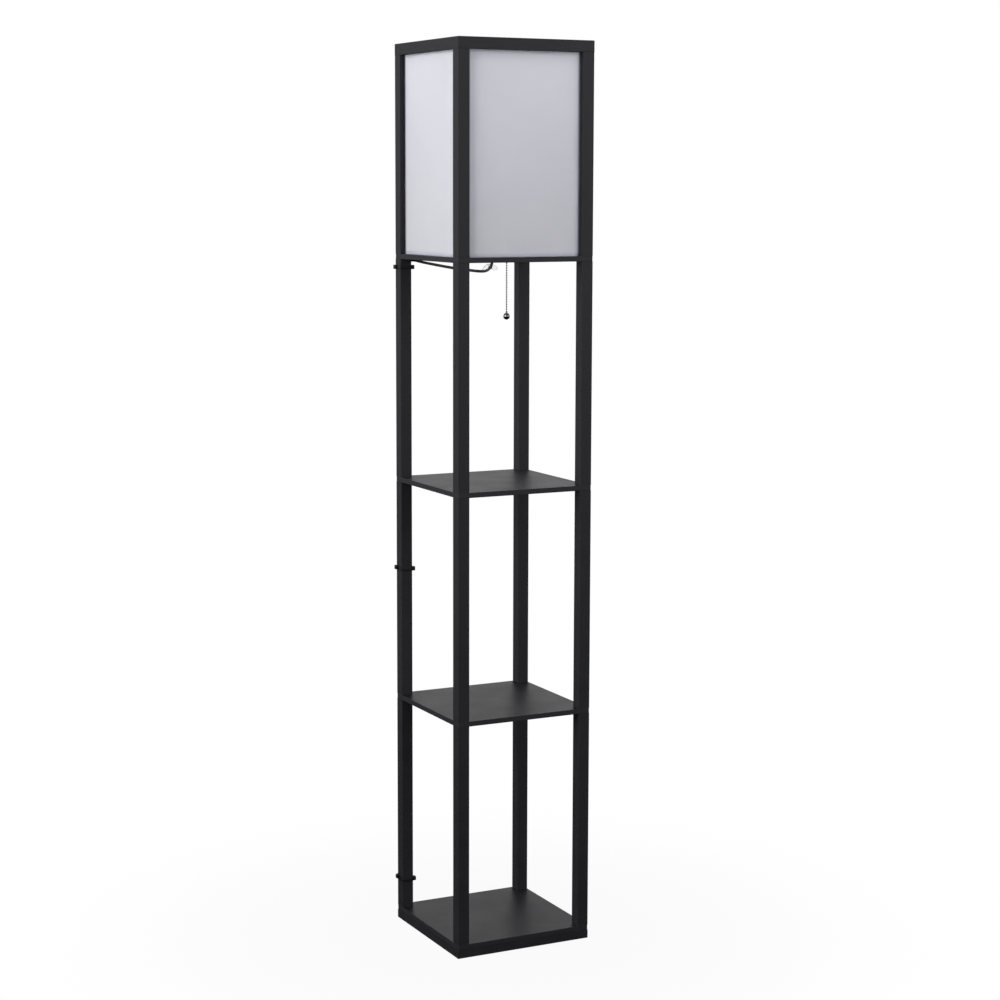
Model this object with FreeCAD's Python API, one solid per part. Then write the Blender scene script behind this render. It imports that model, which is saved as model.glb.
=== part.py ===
"""Shelf floor lamp: three open shelf tiers under a square shade with a pull-chain lamp holder.

Units are millimetres. X runs to the right across the front, Y to the back, Z up.
The origin is the middle of the footprint, on the floor. The front looks along -Y.
"""
import FreeCAD, Part
import math
import os
from FreeCAD import Vector

os.makedirs("parts", exist_ok=True)

# ---------------------------------------------------------------- driving sizes
# Frame
WIDTH = 260.0                # outer width across the front
DEPTH = 260.0                # outer depth, front to back
POST = 21.5                  # side of every square post
TIER_HEIGHT = 393.0          # length of a shelf post, the clear height of a tier
SHADE_HEIGHT = 349.0         # length of a shade post
SHELF_THICK = 9.0            # both shelf boards
BASE_BOARD_THICK = 9.0
BASE_RAIL_HEIGHT = 15.0
SHADE_FRAME_THICK = 9.0
TOP_RAIL_HEIGHT = 20.0
BOARD_CORNER = 2.0           # rounding of a board's upright corners
BOARD_EDGE = 0.6             # softening of a board's long edges
POST_EDGE = 0.8              # softening of a post's and a rail's long edges

# Pads under the base
PAD_RADIUS = 8.0
PAD_THICK = 1.0
PAD_FROM_CORNER = 35.0       # from the end of the rail to the middle of the pad

# Shade panels
PANEL_THICK = 1.5
PANEL_SETBACK = 9.3          # outer face of the post to outer face of the panel
PANEL_GROOVE_SIDE = 4.5      # groove depth in the posts
PANEL_GROOVE_ENDS = 3.0      # groove depth in the frame below and the rail above
PANEL_CLEARANCE = 0.2        # on each side of the panel in its grooves

# Fasteners
STUD_RADIUS = 3.0            # M6
STUD_IN_POST = 20.0          # how far studs and bolts reach into a post
STUD_CLEARANCE = 0.2
INSERT_RADIUS = 4.5
INSERT_LENGTH = 15.0
INSERT_CLEARANCE = 0.05
PILOT_EXTRA = 4.0            # free depth of the hole past the end of a stud
BOLT_HEAD_RADIUS = 5.5
BOLT_HEAD_HEIGHT = 4.0
BOLT_RECESS_RADIUS = 6.5
BOLT_RECESS_DEPTH = 6.0
DOWEL_RADIUS = 3.0
DOWEL_IN_POST = 12.0
DOWEL_IN_RAIL = 12.0
DOWEL_CLEARANCE = 0.05
DOWEL_END_GAP = 0.3

# Crossbar
CROSSBAR_WIDTH = 40.0
CROSSBAR_LAP = 8.0           # how far each end lies on the frame
CROSSBAR_GAP = 0.1           # round the laps
CROSSBAR_RECESS_RADIUS = 10.0
CROSSBAR_RECESS_DEPTH = 4.0

# Threaded tube that holds the lamp holder on the crossbar
TUBE_RADIUS = 5.0            # M10
TUBE_BORE = 3.4
TUBE_CLEARANCE = 0.1
TUBE_ABOVE_NUT = 1.8
TUBE_INSET = 0.4             # lower end of the tube above the crossbar's underside
NUT_FLATS = 14.0
NUT_THICK = 3.0
BUSHING_FLANGE_RADIUS = 6.0
BUSHING_FLANGE_THICK = 1.0
BUSHING_SLEEVE = 6.0

# Lamp holder
HOLDER_RADIUS = 19.5
HOLDER_WALL = 1.5
HOLDER_FLOOR = 1.5
HOLDER_FOOT_RADIUS = 9.0
CAP_CONE_START = 2.0         # height of the straight foot of the cap
CAP_CONE_TOP = 12.0
CAP_HEIGHT = 39.0
SHELL_HEIGHT = 32.0          # above the cap
SHELL_SPIGOT = 8.0           # the part of the shell that sits inside the cap
SHELL_LIP = 1.6              # thicker rim at the mouth of the shell
SPIGOT_CLEARANCE = 0.1
BLOCK_RADIUS = 16.0
BLOCK_BOTTOM = 16.0          # above the crossbar
BLOCK_HEIGHT = 22.0
SLEEVE_RADIUS = 14.6         # outside of the threaded sleeve for the lamp, over its ridges
SLEEVE_WALL = 0.5
SLEEVE_HEIGHT = 26.0
SLEEVE_RIDGE = 0.5
SLEEVE_RIDGES = 6
CONTACT_RADIUS = 4.0
CONTACT_HEIGHT = 3.0
CONTACT_RIM = 1.0            # straight edge of the contact
CONTACT_DOME = 2.4           # radius where its dome turns over
CONTACT_DOME_DROP = 0.4
CONTACT_FLAT = 1.2           # radius of its flat crest

# Pull switch, all in the plane y = 0; heights are above the crossbar
PIVOT_X = 9.0
WHEEL_X = -5.0
AXLE_HEIGHT = 27.0
LEVER_REACH = 18.7           # pivot to the eye that the chain hangs in
LEVER_SWING = 25.0           # degrees, half above level and half below
LEVER_THICK = 1.6
LEVER_ARM = 2.4              # height of the lever's arm
LEVER_HUB = 3.0
LEVER_EYE = 1.0
LEVER_PLATE_WIDTH = 5.0
LEVER_PLATE_LENGTH = 5.5
PAWL_REACH = 9.3
PAWL_BELOW = 0.9
PAWL_ABOVE = 0.3
WHEEL_TIP = 5.5
WHEEL_ROOT = 3.6
WHEEL_THICK = 4.0
WHEEL_TEETH = 8
TOOTH_LEAD = 8.0             # degrees from the pawl's level to the face that it pushes
TOOTH_LAND = 6.0
TOOTH_SPAN = 22.0
PIN_RADIUS = 1.0
PIN_CLEARANCE = 0.05
PIN_LENGTH = 12.0
POCKET_WIDTH = 6.0
POCKET_FLOOR = 2.0
POCKET_BACK = 12.0           # how far the pocket reaches past the middle, away from the chain
SPRING_X = 16.5
SPRING_RADIUS = 2.0
SPRING_WIRE = 0.35
SPRING_TURNS = 6.5
SPRING_GAP = 0.2
SLOT_WIDTH = 6.0
COVER_OUTER = 33.0
COVER_WIDTH = 12.0
COVER_WALL = 1.2
COVER_BOTTOM = 13.0
COVER_TOP = 37.5
COVER_FIT = 0.1
GUIDE_RADIUS = 3.8
GUIDE_BORE = 2.3
GUIDE_LENGTH = 6.5
GUIDE_MOUTH = 4.4            # bore radius at the flared mouth
GUIDE_FLARE = 5.4
GUIDE_FLARE_HEIGHT = 5.0
GUIDE_LIP = 0.6

# Bead chain
CHAIN_X = 27.5
BEAD_RADIUS = 1.6
BEAD_PITCH = 4.3
LINK_RADIUS = 0.4
STOP_ABOVE_EYE = 2.6
STOP_LINK = 5.4              # from the stop bead to the first bead below the lever
STEM_BEADS = 5
LINK_STUB = 0.05             # bare link past the end beads of the stem
CHAIN_BEADS = 26
JOINT_GAP = 0.15
BALL_RADIUS = 6.0
BALL_NECK = 0.6
BALL_BORE_DEPTH = 3.0
BALL_BORE_CLEARANCE = 0.1

# Lamp bulb
BULB_RADIUS = 30.0
BULB_LENGTH = 107.0
BULB_CAP_RADIUS = 13.1
BULB_CAP_LENGTH = 25.0
BULB_NECK_RADIUS = 13.4
BULB_TIP_RADIUS = 4.5
BULB_TIP_HEIGHT = 1.5
BULB_SHOULDER = 3.0          # slope from the contact button to the thread
BULB_RINGS_LOW = 6.0         # from the contact to the lowest ring of the thread
BULB_COLLAR = 3.0            # plain collar above the thread
BULB_NECK = 6.0              # straight part of the glass
BULB_FLANK_ANGLE = -28.0     # where the round crown passes into the flank, from level
BULB_SEAT_GAP = 0.3
BULB_GROOVES = 6
BULB_GROOVE_DEPTH = 0.6

# Mains cord
CORD_RADIUS = 2.5
CORD_SLACK = 0.3             # free space between the cord and the post behind it
CORD_INSIDE = 15.6           # how far the cord runs up into the holder, from the crossbar's underside
LEAD_RADIUS = 1.0            # insulated leads from the cord's end to the switch block
LEAD_START_X = 1.15
LEAD_END_X = 7.0

# Cable ties round the post
TIE_HEIGHTS = (1207.5, 661.5, 79.0)
TIE_WIDTH = 4.8
TIE_THICK = 1.2
TIE_SLACK = 0.15
TIE_CREST = 4.6              # half the straight stretch of the tie behind the cord
TIE_CREST_SLACK = 0.5
TIE_HEAD = (6.0, 8.0, 7.5)   # along X, Y and Z
TIE_OUTER_HEAD = (4.6, 8.0, 7.5)   # the head of the second strap, outside the frame
TIE_HEAD_EDGE = 0.8

# Hank of spare cord on the floor behind the base
HANK_HALF_RUN = 40.0
HANK_BEND = 15.0             # radius of the hank's ends
HANK_WAIST = 8.0             # half the width at the tie, strand middle to strand middle
HANK_PITCH = 5.5             # from layer to layer
HANK_START_X = -70.0
HANK_LIFT = 1.0              # how much the tie lifts the lower strand
HANK_TAIL = 45.0
FLOOR_GAP = 0.1
HANK_TIE_THICK = 0.8
HANK_TIE_WIDTH = 4.8
HANK_TIE_HEAD = (7.5, 6.0, 6.5)   # along X, Y and Z

# Plug
PLUG_THICK = 13.7
PLUG_WIDTH = 35.3
PLUG_TOP_WIDTH = 22.0
PLUG_BODY = 16.0
PLUG_TAPER = 20.0
PLUG_BACK_WIDTH = 13.0
PLUG_BACK_THICK = 9.6
PLUG_BACK_TOP_WIDTH = 7.8
PLUG_RELIEF = 20.0
PLUG_RELIEF_RADIUS = 4.2
PLUG_RELIEF_END = 3.0
PLUG_FLOOR_GAP = 0.15
PLUG_PIN_RADIUS = 2.0
PLUG_PIN_LENGTH = 19.0
PLUG_PIN_SPACING = 19.0
PLUG_PIN_ROUND = 0.7

# ---------------------------------------------------------------- levels
Z_RAILS = PAD_THICK
Z_BASE_BOARD = Z_RAILS + BASE_RAIL_HEIGHT
Z_LOWER_POSTS = Z_BASE_BOARD + BASE_BOARD_THICK
Z_LOWER_SHELF = Z_LOWER_POSTS + TIER_HEIGHT
Z_MIDDLE_POSTS = Z_LOWER_SHELF + SHELF_THICK
Z_UPPER_SHELF = Z_MIDDLE_POSTS + TIER_HEIGHT
Z_UPPER_POSTS = Z_UPPER_SHELF + SHELF_THICK
Z_SHADE_FRAME = Z_UPPER_POSTS + TIER_HEIGHT
Z_SHADE_POSTS = Z_SHADE_FRAME + SHADE_FRAME_THICK
Z_LAP = Z_SHADE_FRAME + SHADE_FRAME_THICK / 2
Z_TOP_RAILS = Z_SHADE_POSTS + SHADE_HEIGHT
Z_TOP = Z_TOP_RAILS + TOP_RAIL_HEIGHT

# ---------------------------------------------------------------- derived places
HALF_W = WIDTH / 2
HALF_D = DEPTH / 2
POST_X = HALF_W - POST / 2
POST_Y = HALF_D - POST / 2
INNER_X = HALF_W - POST
INNER_Y = HALF_D - POST
CORNERS = {
    "front_left": (-POST_X, -POST_Y),
    "front_right": (POST_X, -POST_Y),
    "back_left": (-POST_X, POST_Y),
    "back_right": (POST_X, POST_Y),
}
PANEL_MIDDLE = PANEL_SETBACK + PANEL_THICK / 2
GROOVE = PANEL_THICK + 2 * PANEL_CLEARANCE

Z_SEAT = Z_SHADE_POSTS                  # top of the crossbar
Z_AXLE = Z_SEAT + AXLE_HEIGHT
Z_SLOT_TOP = Z_SEAT + COVER_TOP - COVER_WALL   # just under the roof of the lever's cover
Z_BLOCK = Z_SEAT + BLOCK_BOTTOM
Z_BLOCK_TOP = Z_BLOCK + BLOCK_HEIGHT
Z_CAP_TOP = Z_SEAT + CAP_HEIGHT
Z_SHELL_TOP = Z_CAP_TOP + SHELL_HEIGHT
HALF_SWING = math.radians(LEVER_SWING / 2)
Z_EYE = Z_AXLE + LEVER_REACH * math.sin(HALF_SWING)
Z_STOP = Z_EYE + STOP_ABOVE_EYE
Z_STEM_FIRST = Z_STOP - STOP_LINK
Z_STEM_LAST = Z_STEM_FIRST - (STEM_BEADS - 1) * BEAD_PITCH
Z_CHAIN_FIRST = Z_STEM_LAST - BEAD_PITCH
Z_CHAIN_LAST = Z_CHAIN_FIRST - (CHAIN_BEADS - 1) * BEAD_PITCH
Z_BALL = Z_CHAIN_LAST - BEAD_RADIUS - BALL_NECK - BALL_RADIUS
Z_BULB = Z_BLOCK_TOP + CONTACT_HEIGHT + BULB_SEAT_GAP

parts = {}


# ---------------------------------------------------------------- shape helpers
def block(x0, x1, y0, y1, z0, z1):
    """A box between two values on each axis."""
    return Part.makeBox(x1 - x0, y1 - y0, z1 - z0, Vector(x0, y0, z0))


def rod(radius, z0, z1, x=0.0, y=0.0):
    """An upright cylinder."""
    return Part.makeCylinder(radius, z1 - z0, Vector(x, y, z0), Vector(0, 0, 1))


def pipe_ring(outer, inner, z0, z1, x=0.0, y=0.0):
    """An upright cylinder with a round bore."""
    return rod(outer, z0, z1, x, y).cut(rod(inner, z0 - 1, z1 + 1, x, y))


def turned(points, x=0.0, y=0.0):
    """A solid of revolution from its half section, points of radius and height."""
    corners = [Vector(x + r, y, z) for r, z in points]
    face = Part.Face(Part.makePolygon(corners + corners[:1]))
    return face.revolve(Vector(x, y, 0), Vector(0, 0, 1), 360)


def slab(outline, z0, z1):
    """A flat plate from an outline of x, y points."""
    corners = [Vector(x, y, z0) for x, y in outline]
    return Part.Face(Part.makePolygon(corners + corners[:1])).extrude(Vector(0, 0, z1 - z0))


def plate_xz(outline, y0, y1):
    """A plate that stands across Y, from an outline of x, z points."""
    corners = [Vector(x, y0, z) for x, z in outline]
    return Part.Face(Part.makePolygon(corners + corners[:1])).extrude(Vector(0, y1 - y0, 0))


def joined(shapes):
    """One solid from shapes that overlap or share a face."""
    whole = shapes[0].fuse(shapes[1:]) if len(shapes) > 1 else shapes[0]
    return whole.removeSplitter()


def group(shapes):
    """Separate solids in one node."""
    return Part.makeCompound(shapes)


def straight_edges(shape, direction, shortest):
    """The straight edges of a shape that run along a direction."""
    found = []
    for edge in shape.Edges:
        if isinstance(edge.Curve, Part.Line) and edge.Length > shortest:
            if abs(edge.tangentAt(edge.FirstParameter).dot(direction)) > 0.999:
                found.append(edge)
    return found


def softened(shape, direction, radius):
    """A shape with its long edges along a direction rounded."""
    return shape.makeFillet(radius, straight_edges(shape, direction, 4 * radius))


def hexagon_nut(z0, z1):
    """A hexagon nut on the lamp holder's axis."""
    reach = NUT_FLATS / 2 / math.cos(math.radians(30))
    turns = [math.radians(60 * k) for k in range(6)]
    outline = [(reach * math.cos(a), reach * math.sin(a)) for a in turns]
    return slab(outline, z0, z1).cut(rod(TUBE_RADIUS + TUBE_CLEARANCE, z0 - 1, z1 + 1))


def helix_tube(radius, wire, z0, z1, turns, x, y):
    """A coil spring: a round wire along a helix between two heights."""
    pitch = (z1 - z0 - 2 * wire) / turns
    path = Part.makeHelix(pitch, pitch * turns, radius)
    path.translate(Vector(x, y, z0 + wire))
    start = path.Edges[0]
    along = start.tangentAt(start.FirstParameter)
    ring = Part.Wire(Part.makeCircle(wire, start.valueAt(start.FirstParameter), along))
    return Part.Wire(path.Edges).makePipeShell([ring], True, True)


# ---------------------------------------------------------------- cord helpers
def rounded_route(points):
    """Straight runs through the points, with a tangent arc at each inner point.

    An arc's radius is 0.45 of the shorter run beside it, divided by the tangent of half the turn.
    Returns the edges and the radii.
    """
    places = [Vector(*p) for p in points]
    edges = []
    radii = []
    start = places[0]
    for before, corner, after in zip(places, places[1:], places[2:]):
        into = (corner - before).normalize()
        away = (after - corner).normalize()
        half_turn = into.getAngle(away) / 2
        cut = 0.45 * min(before.distanceToPoint(corner), corner.distanceToPoint(after))
        radius = cut / math.tan(half_turn)
        first = corner - into * cut
        last = corner + away * cut
        inward = (away - into).normalize()
        middle = corner + inward * (radius / math.cos(half_turn) - radius)
        edges.append(Part.LineSegment(start, first).toShape())
        edges.append(Part.Arc(first, middle, last).toShape())
        radii.append(radius)
        start = last
    edges.append(Part.LineSegment(start, places[-1]).toShape())
    return edges, radii


def arc_middle(start, along, end):
    """The middle point of the arc that leaves start in a direction and ends at end, or None for a line."""
    chord = end - start
    turn = along.getAngle(chord)
    if turn < 1e-6:
        return None
    sideways = chord.cross(along).cross(chord).normalize()
    return start + chord / 2 + sideways * (chord.Length / 2 * math.tan(turn / 2))


def arc_or_line(start, middle, end):
    """An edge through three points, or a line where there is no middle point."""
    if middle is None:
        return Part.LineSegment(start, end).toShape()
    return Part.Arc(start, middle, end).toShape()


def biarc(start, along, end, leaving):
    """Two arcs that join two points with given directions and share one tangent where they meet."""
    along = Vector(along).normalize()
    leaving = Vector(leaving).normalize()
    gap = end - start
    across = gap.dot(along + leaving)
    slack = 2 * (1 - along.dot(leaving))
    if slack < 1e-9:
        reach = gap.dot(gap) / (2 * across)
    else:
        reach = (math.sqrt(across ** 2 + slack * gap.dot(gap)) - across) / slack
    meeting = (start + along * reach + end - leaving * reach) / 2
    first = arc_or_line(start, arc_middle(start, along, meeting), meeting)
    second = arc_or_line(meeting, arc_middle(end, leaving * -1, meeting), end)
    return [first, second]


def cord_tube(edges, radius, start, along):
    """One unbroken round tube along a tangent path."""
    ring = Part.Wire(Part.makeCircle(radius, start, along))
    return Part.Wire(Part.__sortEdges__(edges)).makePipeShell([ring], True, False)


def path_length(edges):
    """The length of a path of edges."""
    return sum(edge.Length for edge in edges)


def check_tube(name, tube, edges, radius):
    """Prints a cord's length and its tube's volume against section times length."""
    length = path_length(edges)
    ratio = tube.Volume / (math.pi * radius ** 2 * length)
    print("%s: length %.1f mm, valid %s" % (name, length, tube.isValid()))
    print("%s: volume over section times length %.5f" % (name, ratio))


def least_self_gap(edges, radius, step):
    """The least free space between turns, on points along the path more than four diameters apart."""
    points = []
    places = []
    run = 0.0
    for edge in edges:
        count = max(2, int(edge.Length / step))
        for point in edge.discretize(count)[:-1]:
            points.append(point)
            places.append(run + (point - edge.Vertexes[0].Point).Length)
        run += edge.Length
    least = 1e9
    for i, first in enumerate(points):
        for j in range(i + 1, len(points)):
            if places[j] - places[i] > 8 * radius:
                least = min(least, first.distanceToPoint(points[j]))
    return least - 2 * radius


# ---------------------------------------------------------------- base
def board(z0, thick, holes):
    """A full-width board with rounded corners and a hole at each post."""
    shape = block(-HALF_W, HALF_W, -HALF_D, HALF_D, z0, z0 + thick)
    shape = shape.makeFillet(BOARD_CORNER, straight_edges(shape, Vector(0, 0, 1), thick / 2))
    rims = []
    for edge in shape.Edges:
        box = edge.BoundBox
        if box.ZLength < 0.01:
            rims.append(edge)
    shape = shape.makeFillet(BOARD_EDGE, rims)
    for x, y in CORNERS.values():
        shape = shape.cut(rod(holes, z0 - 1, z0 + thick + 1, x, y))
    return shape


def base_rail(x0, x1, y0, y1):
    """One rail under the base board, with the bolt holes that fall in it."""
    shape = block(x0, x1, y0, y1, Z_RAILS, Z_BASE_BOARD)
    for x, y in CORNERS.values():
        if x0 < x < x1 and y0 < y < y1:
            shape = shape.cut(rod(STUD_RADIUS + STUD_CLEARANCE, Z_RAILS - 1, Z_BASE_BOARD + 1, x, y))
            shape = shape.cut(rod(BOLT_RECESS_RADIUS, Z_RAILS - 1, Z_RAILS + BOLT_RECESS_DEPTH, x, y))
    return shape


def base_bolt(x, y):
    """A bolt with its head in the rail's recess, up through the board into the post."""
    head_top = Z_RAILS + BOLT_RECESS_DEPTH
    head = rod(BOLT_HEAD_RADIUS, head_top - BOLT_HEAD_HEIGHT, head_top, x, y)
    shank = rod(STUD_RADIUS, head_top - 1, Z_LOWER_POSTS + STUD_IN_POST, x, y)
    return joined([head, shank])


def make_base():
    parts["base_board"] = board(Z_BASE_BOARD, BASE_BOARD_THICK, STUD_RADIUS + STUD_CLEARANCE)
    front = base_rail(-HALF_W, HALF_W, -HALF_D, -INNER_Y)
    back = base_rail(-HALF_W, HALF_W, INNER_Y, HALF_D)
    left = base_rail(-HALF_W, -INNER_X, -INNER_Y, INNER_Y)
    right = base_rail(INNER_X, HALF_W, -INNER_Y, INNER_Y)
    parts["base_rails_long"] = group([front, back])
    parts["base_rails_short"] = group([left, right])
    pad_x = HALF_W - PAD_FROM_CORNER
    pads = [rod(PAD_RADIUS, 0, PAD_THICK, x, y) for x in (-pad_x, pad_x) for y in (-POST_Y, POST_Y)]
    parts["base_pads"] = group(pads)
    parts["base_bolts"] = group([base_bolt(x, y) for x, y in CORNERS.values()])


# ---------------------------------------------------------------- posts and shelves
def bored_end(shape, x, y, face, inward):
    """A post with the stepped hole for a threaded insert and a stud cut into one end."""
    wide = sorted((face, face + inward * INSERT_LENGTH))
    deep = sorted((face, face + inward * (STUD_IN_POST + PILOT_EXTRA)))
    shape = shape.cut(rod(INSERT_RADIUS + INSERT_CLEARANCE, wide[0], wide[1], x, y))
    return shape.cut(rod(STUD_RADIUS + STUD_CLEARANCE, deep[0], deep[1], x, y))


def post(x, y, z0, z1):
    """A square post with softened long edges."""
    half = POST / 2
    shape = block(x - half, x + half, y - half, y + half, z0, z1)
    return softened(shape, Vector(0, 0, 1), POST_EDGE)


def insert(x, y, face, inward):
    """A threaded insert in the end of a post."""
    ends = sorted((face, face + inward * INSERT_LENGTH))
    return pipe_ring(INSERT_RADIUS, STUD_RADIUS + STUD_CLEARANCE, ends[0], ends[1], x, y)


def stud(x, y, z_board, thick):
    """A threaded stud through a board, into the posts above and below."""
    return rod(STUD_RADIUS, z_board - STUD_IN_POST, z_board + thick + STUD_IN_POST, x, y)


def make_shelves():
    inserts = []
    studs = []
    tiers = (
        ("lower_post", Z_LOWER_POSTS, Z_LOWER_SHELF),
        ("middle_post", Z_MIDDLE_POSTS, Z_UPPER_SHELF),
        ("upper_post", Z_UPPER_POSTS, Z_SHADE_FRAME),
    )
    for tier, z0, z1 in tiers:
        for corner, (x, y) in CORNERS.items():
            shape = bored_end(post(x, y, z0, z1), x, y, z0, 1)
            parts[tier + "_" + corner] = bored_end(shape, x, y, z1, -1)
            inserts += [insert(x, y, z0, 1), insert(x, y, z1, -1)]
    hole = STUD_RADIUS + STUD_CLEARANCE
    parts["lower_shelf"] = board(Z_LOWER_SHELF, SHELF_THICK, hole)
    parts["upper_shelf"] = board(Z_UPPER_SHELF, SHELF_THICK, hole)
    levels = (
        (Z_LOWER_SHELF, SHELF_THICK),
        (Z_UPPER_SHELF, SHELF_THICK),
        (Z_SHADE_FRAME, SHADE_FRAME_THICK),
    )
    for x, y in CORNERS.values():
        inserts.append(insert(x, y, Z_SHADE_POSTS, 1))
        studs += [stud(x, y, z, thick) for z, thick in levels]
    parts["post_inserts"] = group(inserts)
    parts["joining_studs"] = group(studs)


# ---------------------------------------------------------------- shade
def panel_slots(z0, z1, side):
    """The four upright slots, one for each panel, that reach a depth into the posts."""
    reach_x = INNER_X + side
    reach_y = INNER_Y + side
    x_mid = HALF_W - PANEL_MIDDLE
    y_mid = HALF_D - PANEL_MIDDLE
    half = GROOVE / 2
    return [
        block(-reach_x, reach_x, -y_mid - half, -y_mid + half, z0, z1),
        block(-reach_x, reach_x, y_mid - half, y_mid + half, z0, z1),
        block(-x_mid - half, -x_mid + half, -reach_y, reach_y, z0, z1),
        block(x_mid - half, x_mid + half, -reach_y, reach_y, z0, z1),
    ]


def shade_post(x, y):
    """A post of the shade, grooved on its two inner faces for the panels."""
    shape = bored_end(post(x, y, Z_SHADE_POSTS, Z_TOP_RAILS), x, y, Z_SHADE_POSTS, 1)
    for slot in panel_slots(Z_SHADE_POSTS - 1, Z_TOP_RAILS + 1, PANEL_GROOVE_SIDE):
        shape = shape.cut(slot)
    hole = rod(DOWEL_RADIUS + DOWEL_CLEARANCE, Z_TOP_RAILS - DOWEL_IN_POST, Z_TOP_RAILS, x, y)
    return shape.cut(hole)


def shade_frame():
    """The board-thick frame under the shade: grooved for the panels, notched for the crossbar."""
    shape = board(Z_SHADE_FRAME, SHADE_FRAME_THICK, STUD_RADIUS + STUD_CLEARANCE)
    low = Z_SHADE_FRAME - 1
    shape = shape.cut(block(-INNER_X, INNER_X, -INNER_Y, INNER_Y, low, Z_SHADE_POSTS + 1))
    for slot in panel_slots(Z_SHADE_POSTS - PANEL_GROOVE_ENDS, Z_SHADE_POSTS + 1, 0.0):
        shape = shape.cut(slot)
    half = CROSSBAR_WIDTH / 2 + CROSSBAR_GAP
    lap = INNER_Y + CROSSBAR_LAP + CROSSBAR_GAP
    return shape.cut(block(-half, half, -lap, lap, Z_LAP, Z_SHADE_POSTS + 1))


def crossbar():
    """The bar that carries the lamp holder, with a recess below for its nut."""
    half = CROSSBAR_WIDTH / 2
    lap = INNER_Y + CROSSBAR_LAP
    inner = INNER_Y - CROSSBAR_GAP
    upper = block(-half, half, -lap, lap, Z_LAP, Z_SEAT)
    lower = block(-half, half, -inner, inner, Z_SHADE_FRAME, Z_LAP)
    shape = joined([upper, lower])
    shape = shape.cut(rod(TUBE_RADIUS + TUBE_CLEARANCE, Z_SHADE_FRAME - 1, Z_SEAT + 1))
    recess_top = Z_SHADE_FRAME + CROSSBAR_RECESS_DEPTH
    return shape.cut(rod(CROSSBAR_RECESS_RADIUS, Z_SHADE_FRAME - 1, recess_top))


def panel(along_x, side):
    """One shade panel, seated in the posts and in the grooves below and above."""
    half = PANEL_THICK / 2
    z0 = Z_SHADE_POSTS - PANEL_GROOVE_ENDS + PANEL_CLEARANCE
    z1 = Z_TOP_RAILS + PANEL_GROOVE_ENDS - PANEL_CLEARANCE
    if along_x:
        reach = INNER_X + PANEL_GROOVE_SIDE - PANEL_CLEARANCE
        middle = side * (HALF_D - PANEL_MIDDLE)
        return panel_shape(-reach, reach, middle - half, middle + half, z0, z1, INNER_X)
    reach = INNER_Y + PANEL_GROOVE_SIDE - PANEL_CLEARANCE
    middle = side * (HALF_W - PANEL_MIDDLE)
    return panel_shape(middle - half, middle + half, -reach, reach, z0, z1, INNER_Y)


def panel_shape(x0, x1, y0, y1, z0, z1, inner):
    """A panel whose ends that enter the frame and the rail stay clear of the posts."""
    whole = block(x0, x1, y0, y1, Z_SHADE_POSTS + PANEL_CLEARANCE, Z_TOP_RAILS - PANEL_CLEARANCE)
    narrow = inner - PANEL_CLEARANCE
    if x1 - x0 > y1 - y0:
        tongue = block(-narrow, narrow, y0, y1, z0, z1)
    else:
        tongue = block(x0, x1, -narrow, narrow, z0, z1)
    return joined([whole, tongue])


def top_rail(outline, direction):
    """A mitred rail of the top frame, with the panel groove below and the dowel holes."""
    shape = softened(slab(outline, Z_TOP_RAILS, Z_TOP), direction, POST_EDGE)
    for slot in panel_slots(Z_TOP_RAILS - 1, Z_TOP_RAILS + PANEL_GROOVE_ENDS, 0.0):
        shape = shape.cut(slot)
    for x, y in CORNERS.values():
        hole = rod(DOWEL_RADIUS + DOWEL_CLEARANCE, Z_TOP_RAILS, Z_TOP_RAILS + DOWEL_IN_RAIL, x, y)
        shape = shape.cut(hole)
    return shape


def make_shade():
    parts["shade_frame"] = shade_frame()
    parts["crossbar"] = crossbar()
    for corner, (x, y) in CORNERS.items():
        parts["shade_post_" + corner] = shade_post(x, y)
    parts["panel_front"] = panel(True, -1)
    parts["panel_back"] = panel(True, 1)
    parts["panel_left"] = panel(False, -1)
    parts["panel_right"] = panel(False, 1)
    w, d, i, j = HALF_W, HALF_D, INNER_X, INNER_Y
    along_x = Vector(1, 0, 0)
    along_y = Vector(0, 1, 0)
    parts["top_rail_front"] = top_rail([(-w, -d), (w, -d), (i, -j), (-i, -j)], along_x)
    parts["top_rail_back"] = top_rail([(-w, d), (-i, j), (i, j), (w, d)], along_x)
    parts["top_rail_left"] = top_rail([(-w, -d), (-i, -j), (-i, j), (-w, d)], along_y)
    parts["top_rail_right"] = top_rail([(w, -d), (w, d), (i, j), (i, -j)], along_y)
    z0 = Z_TOP_RAILS - DOWEL_IN_POST + DOWEL_END_GAP
    z1 = Z_TOP_RAILS + DOWEL_IN_RAIL - DOWEL_END_GAP
    parts["top_dowels"] = group([rod(DOWEL_RADIUS, z0, z1, x, y) for x, y in CORNERS.values()])


# ---------------------------------------------------------------- lamp holder
def holder_cap():
    """The lower cap of the holder: a foot, a cone and a straight wall, hollow inside."""
    foot, wide, wall = HOLDER_FOOT_RADIUS, HOLDER_RADIUS, HOLDER_WALL
    z = Z_SEAT
    outside = [
        (TUBE_RADIUS + TUBE_CLEARANCE, z),
        (foot, z),
        (foot, z + CAP_CONE_START),
        (wide, z + CAP_CONE_TOP),
        (wide, Z_CAP_TOP),
    ]
    inside = [
        (wide - wall, Z_CAP_TOP),
        (wide - wall, z + CAP_CONE_TOP + HOLDER_FLOOR / 2),
        (foot - wall / 2, z + HOLDER_FLOOR),
        (TUBE_RADIUS + TUBE_CLEARANCE, z + HOLDER_FLOOR),
    ]
    return turned(outside + inside).cut(lever_slot(Z_CAP_TOP + 1))


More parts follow.
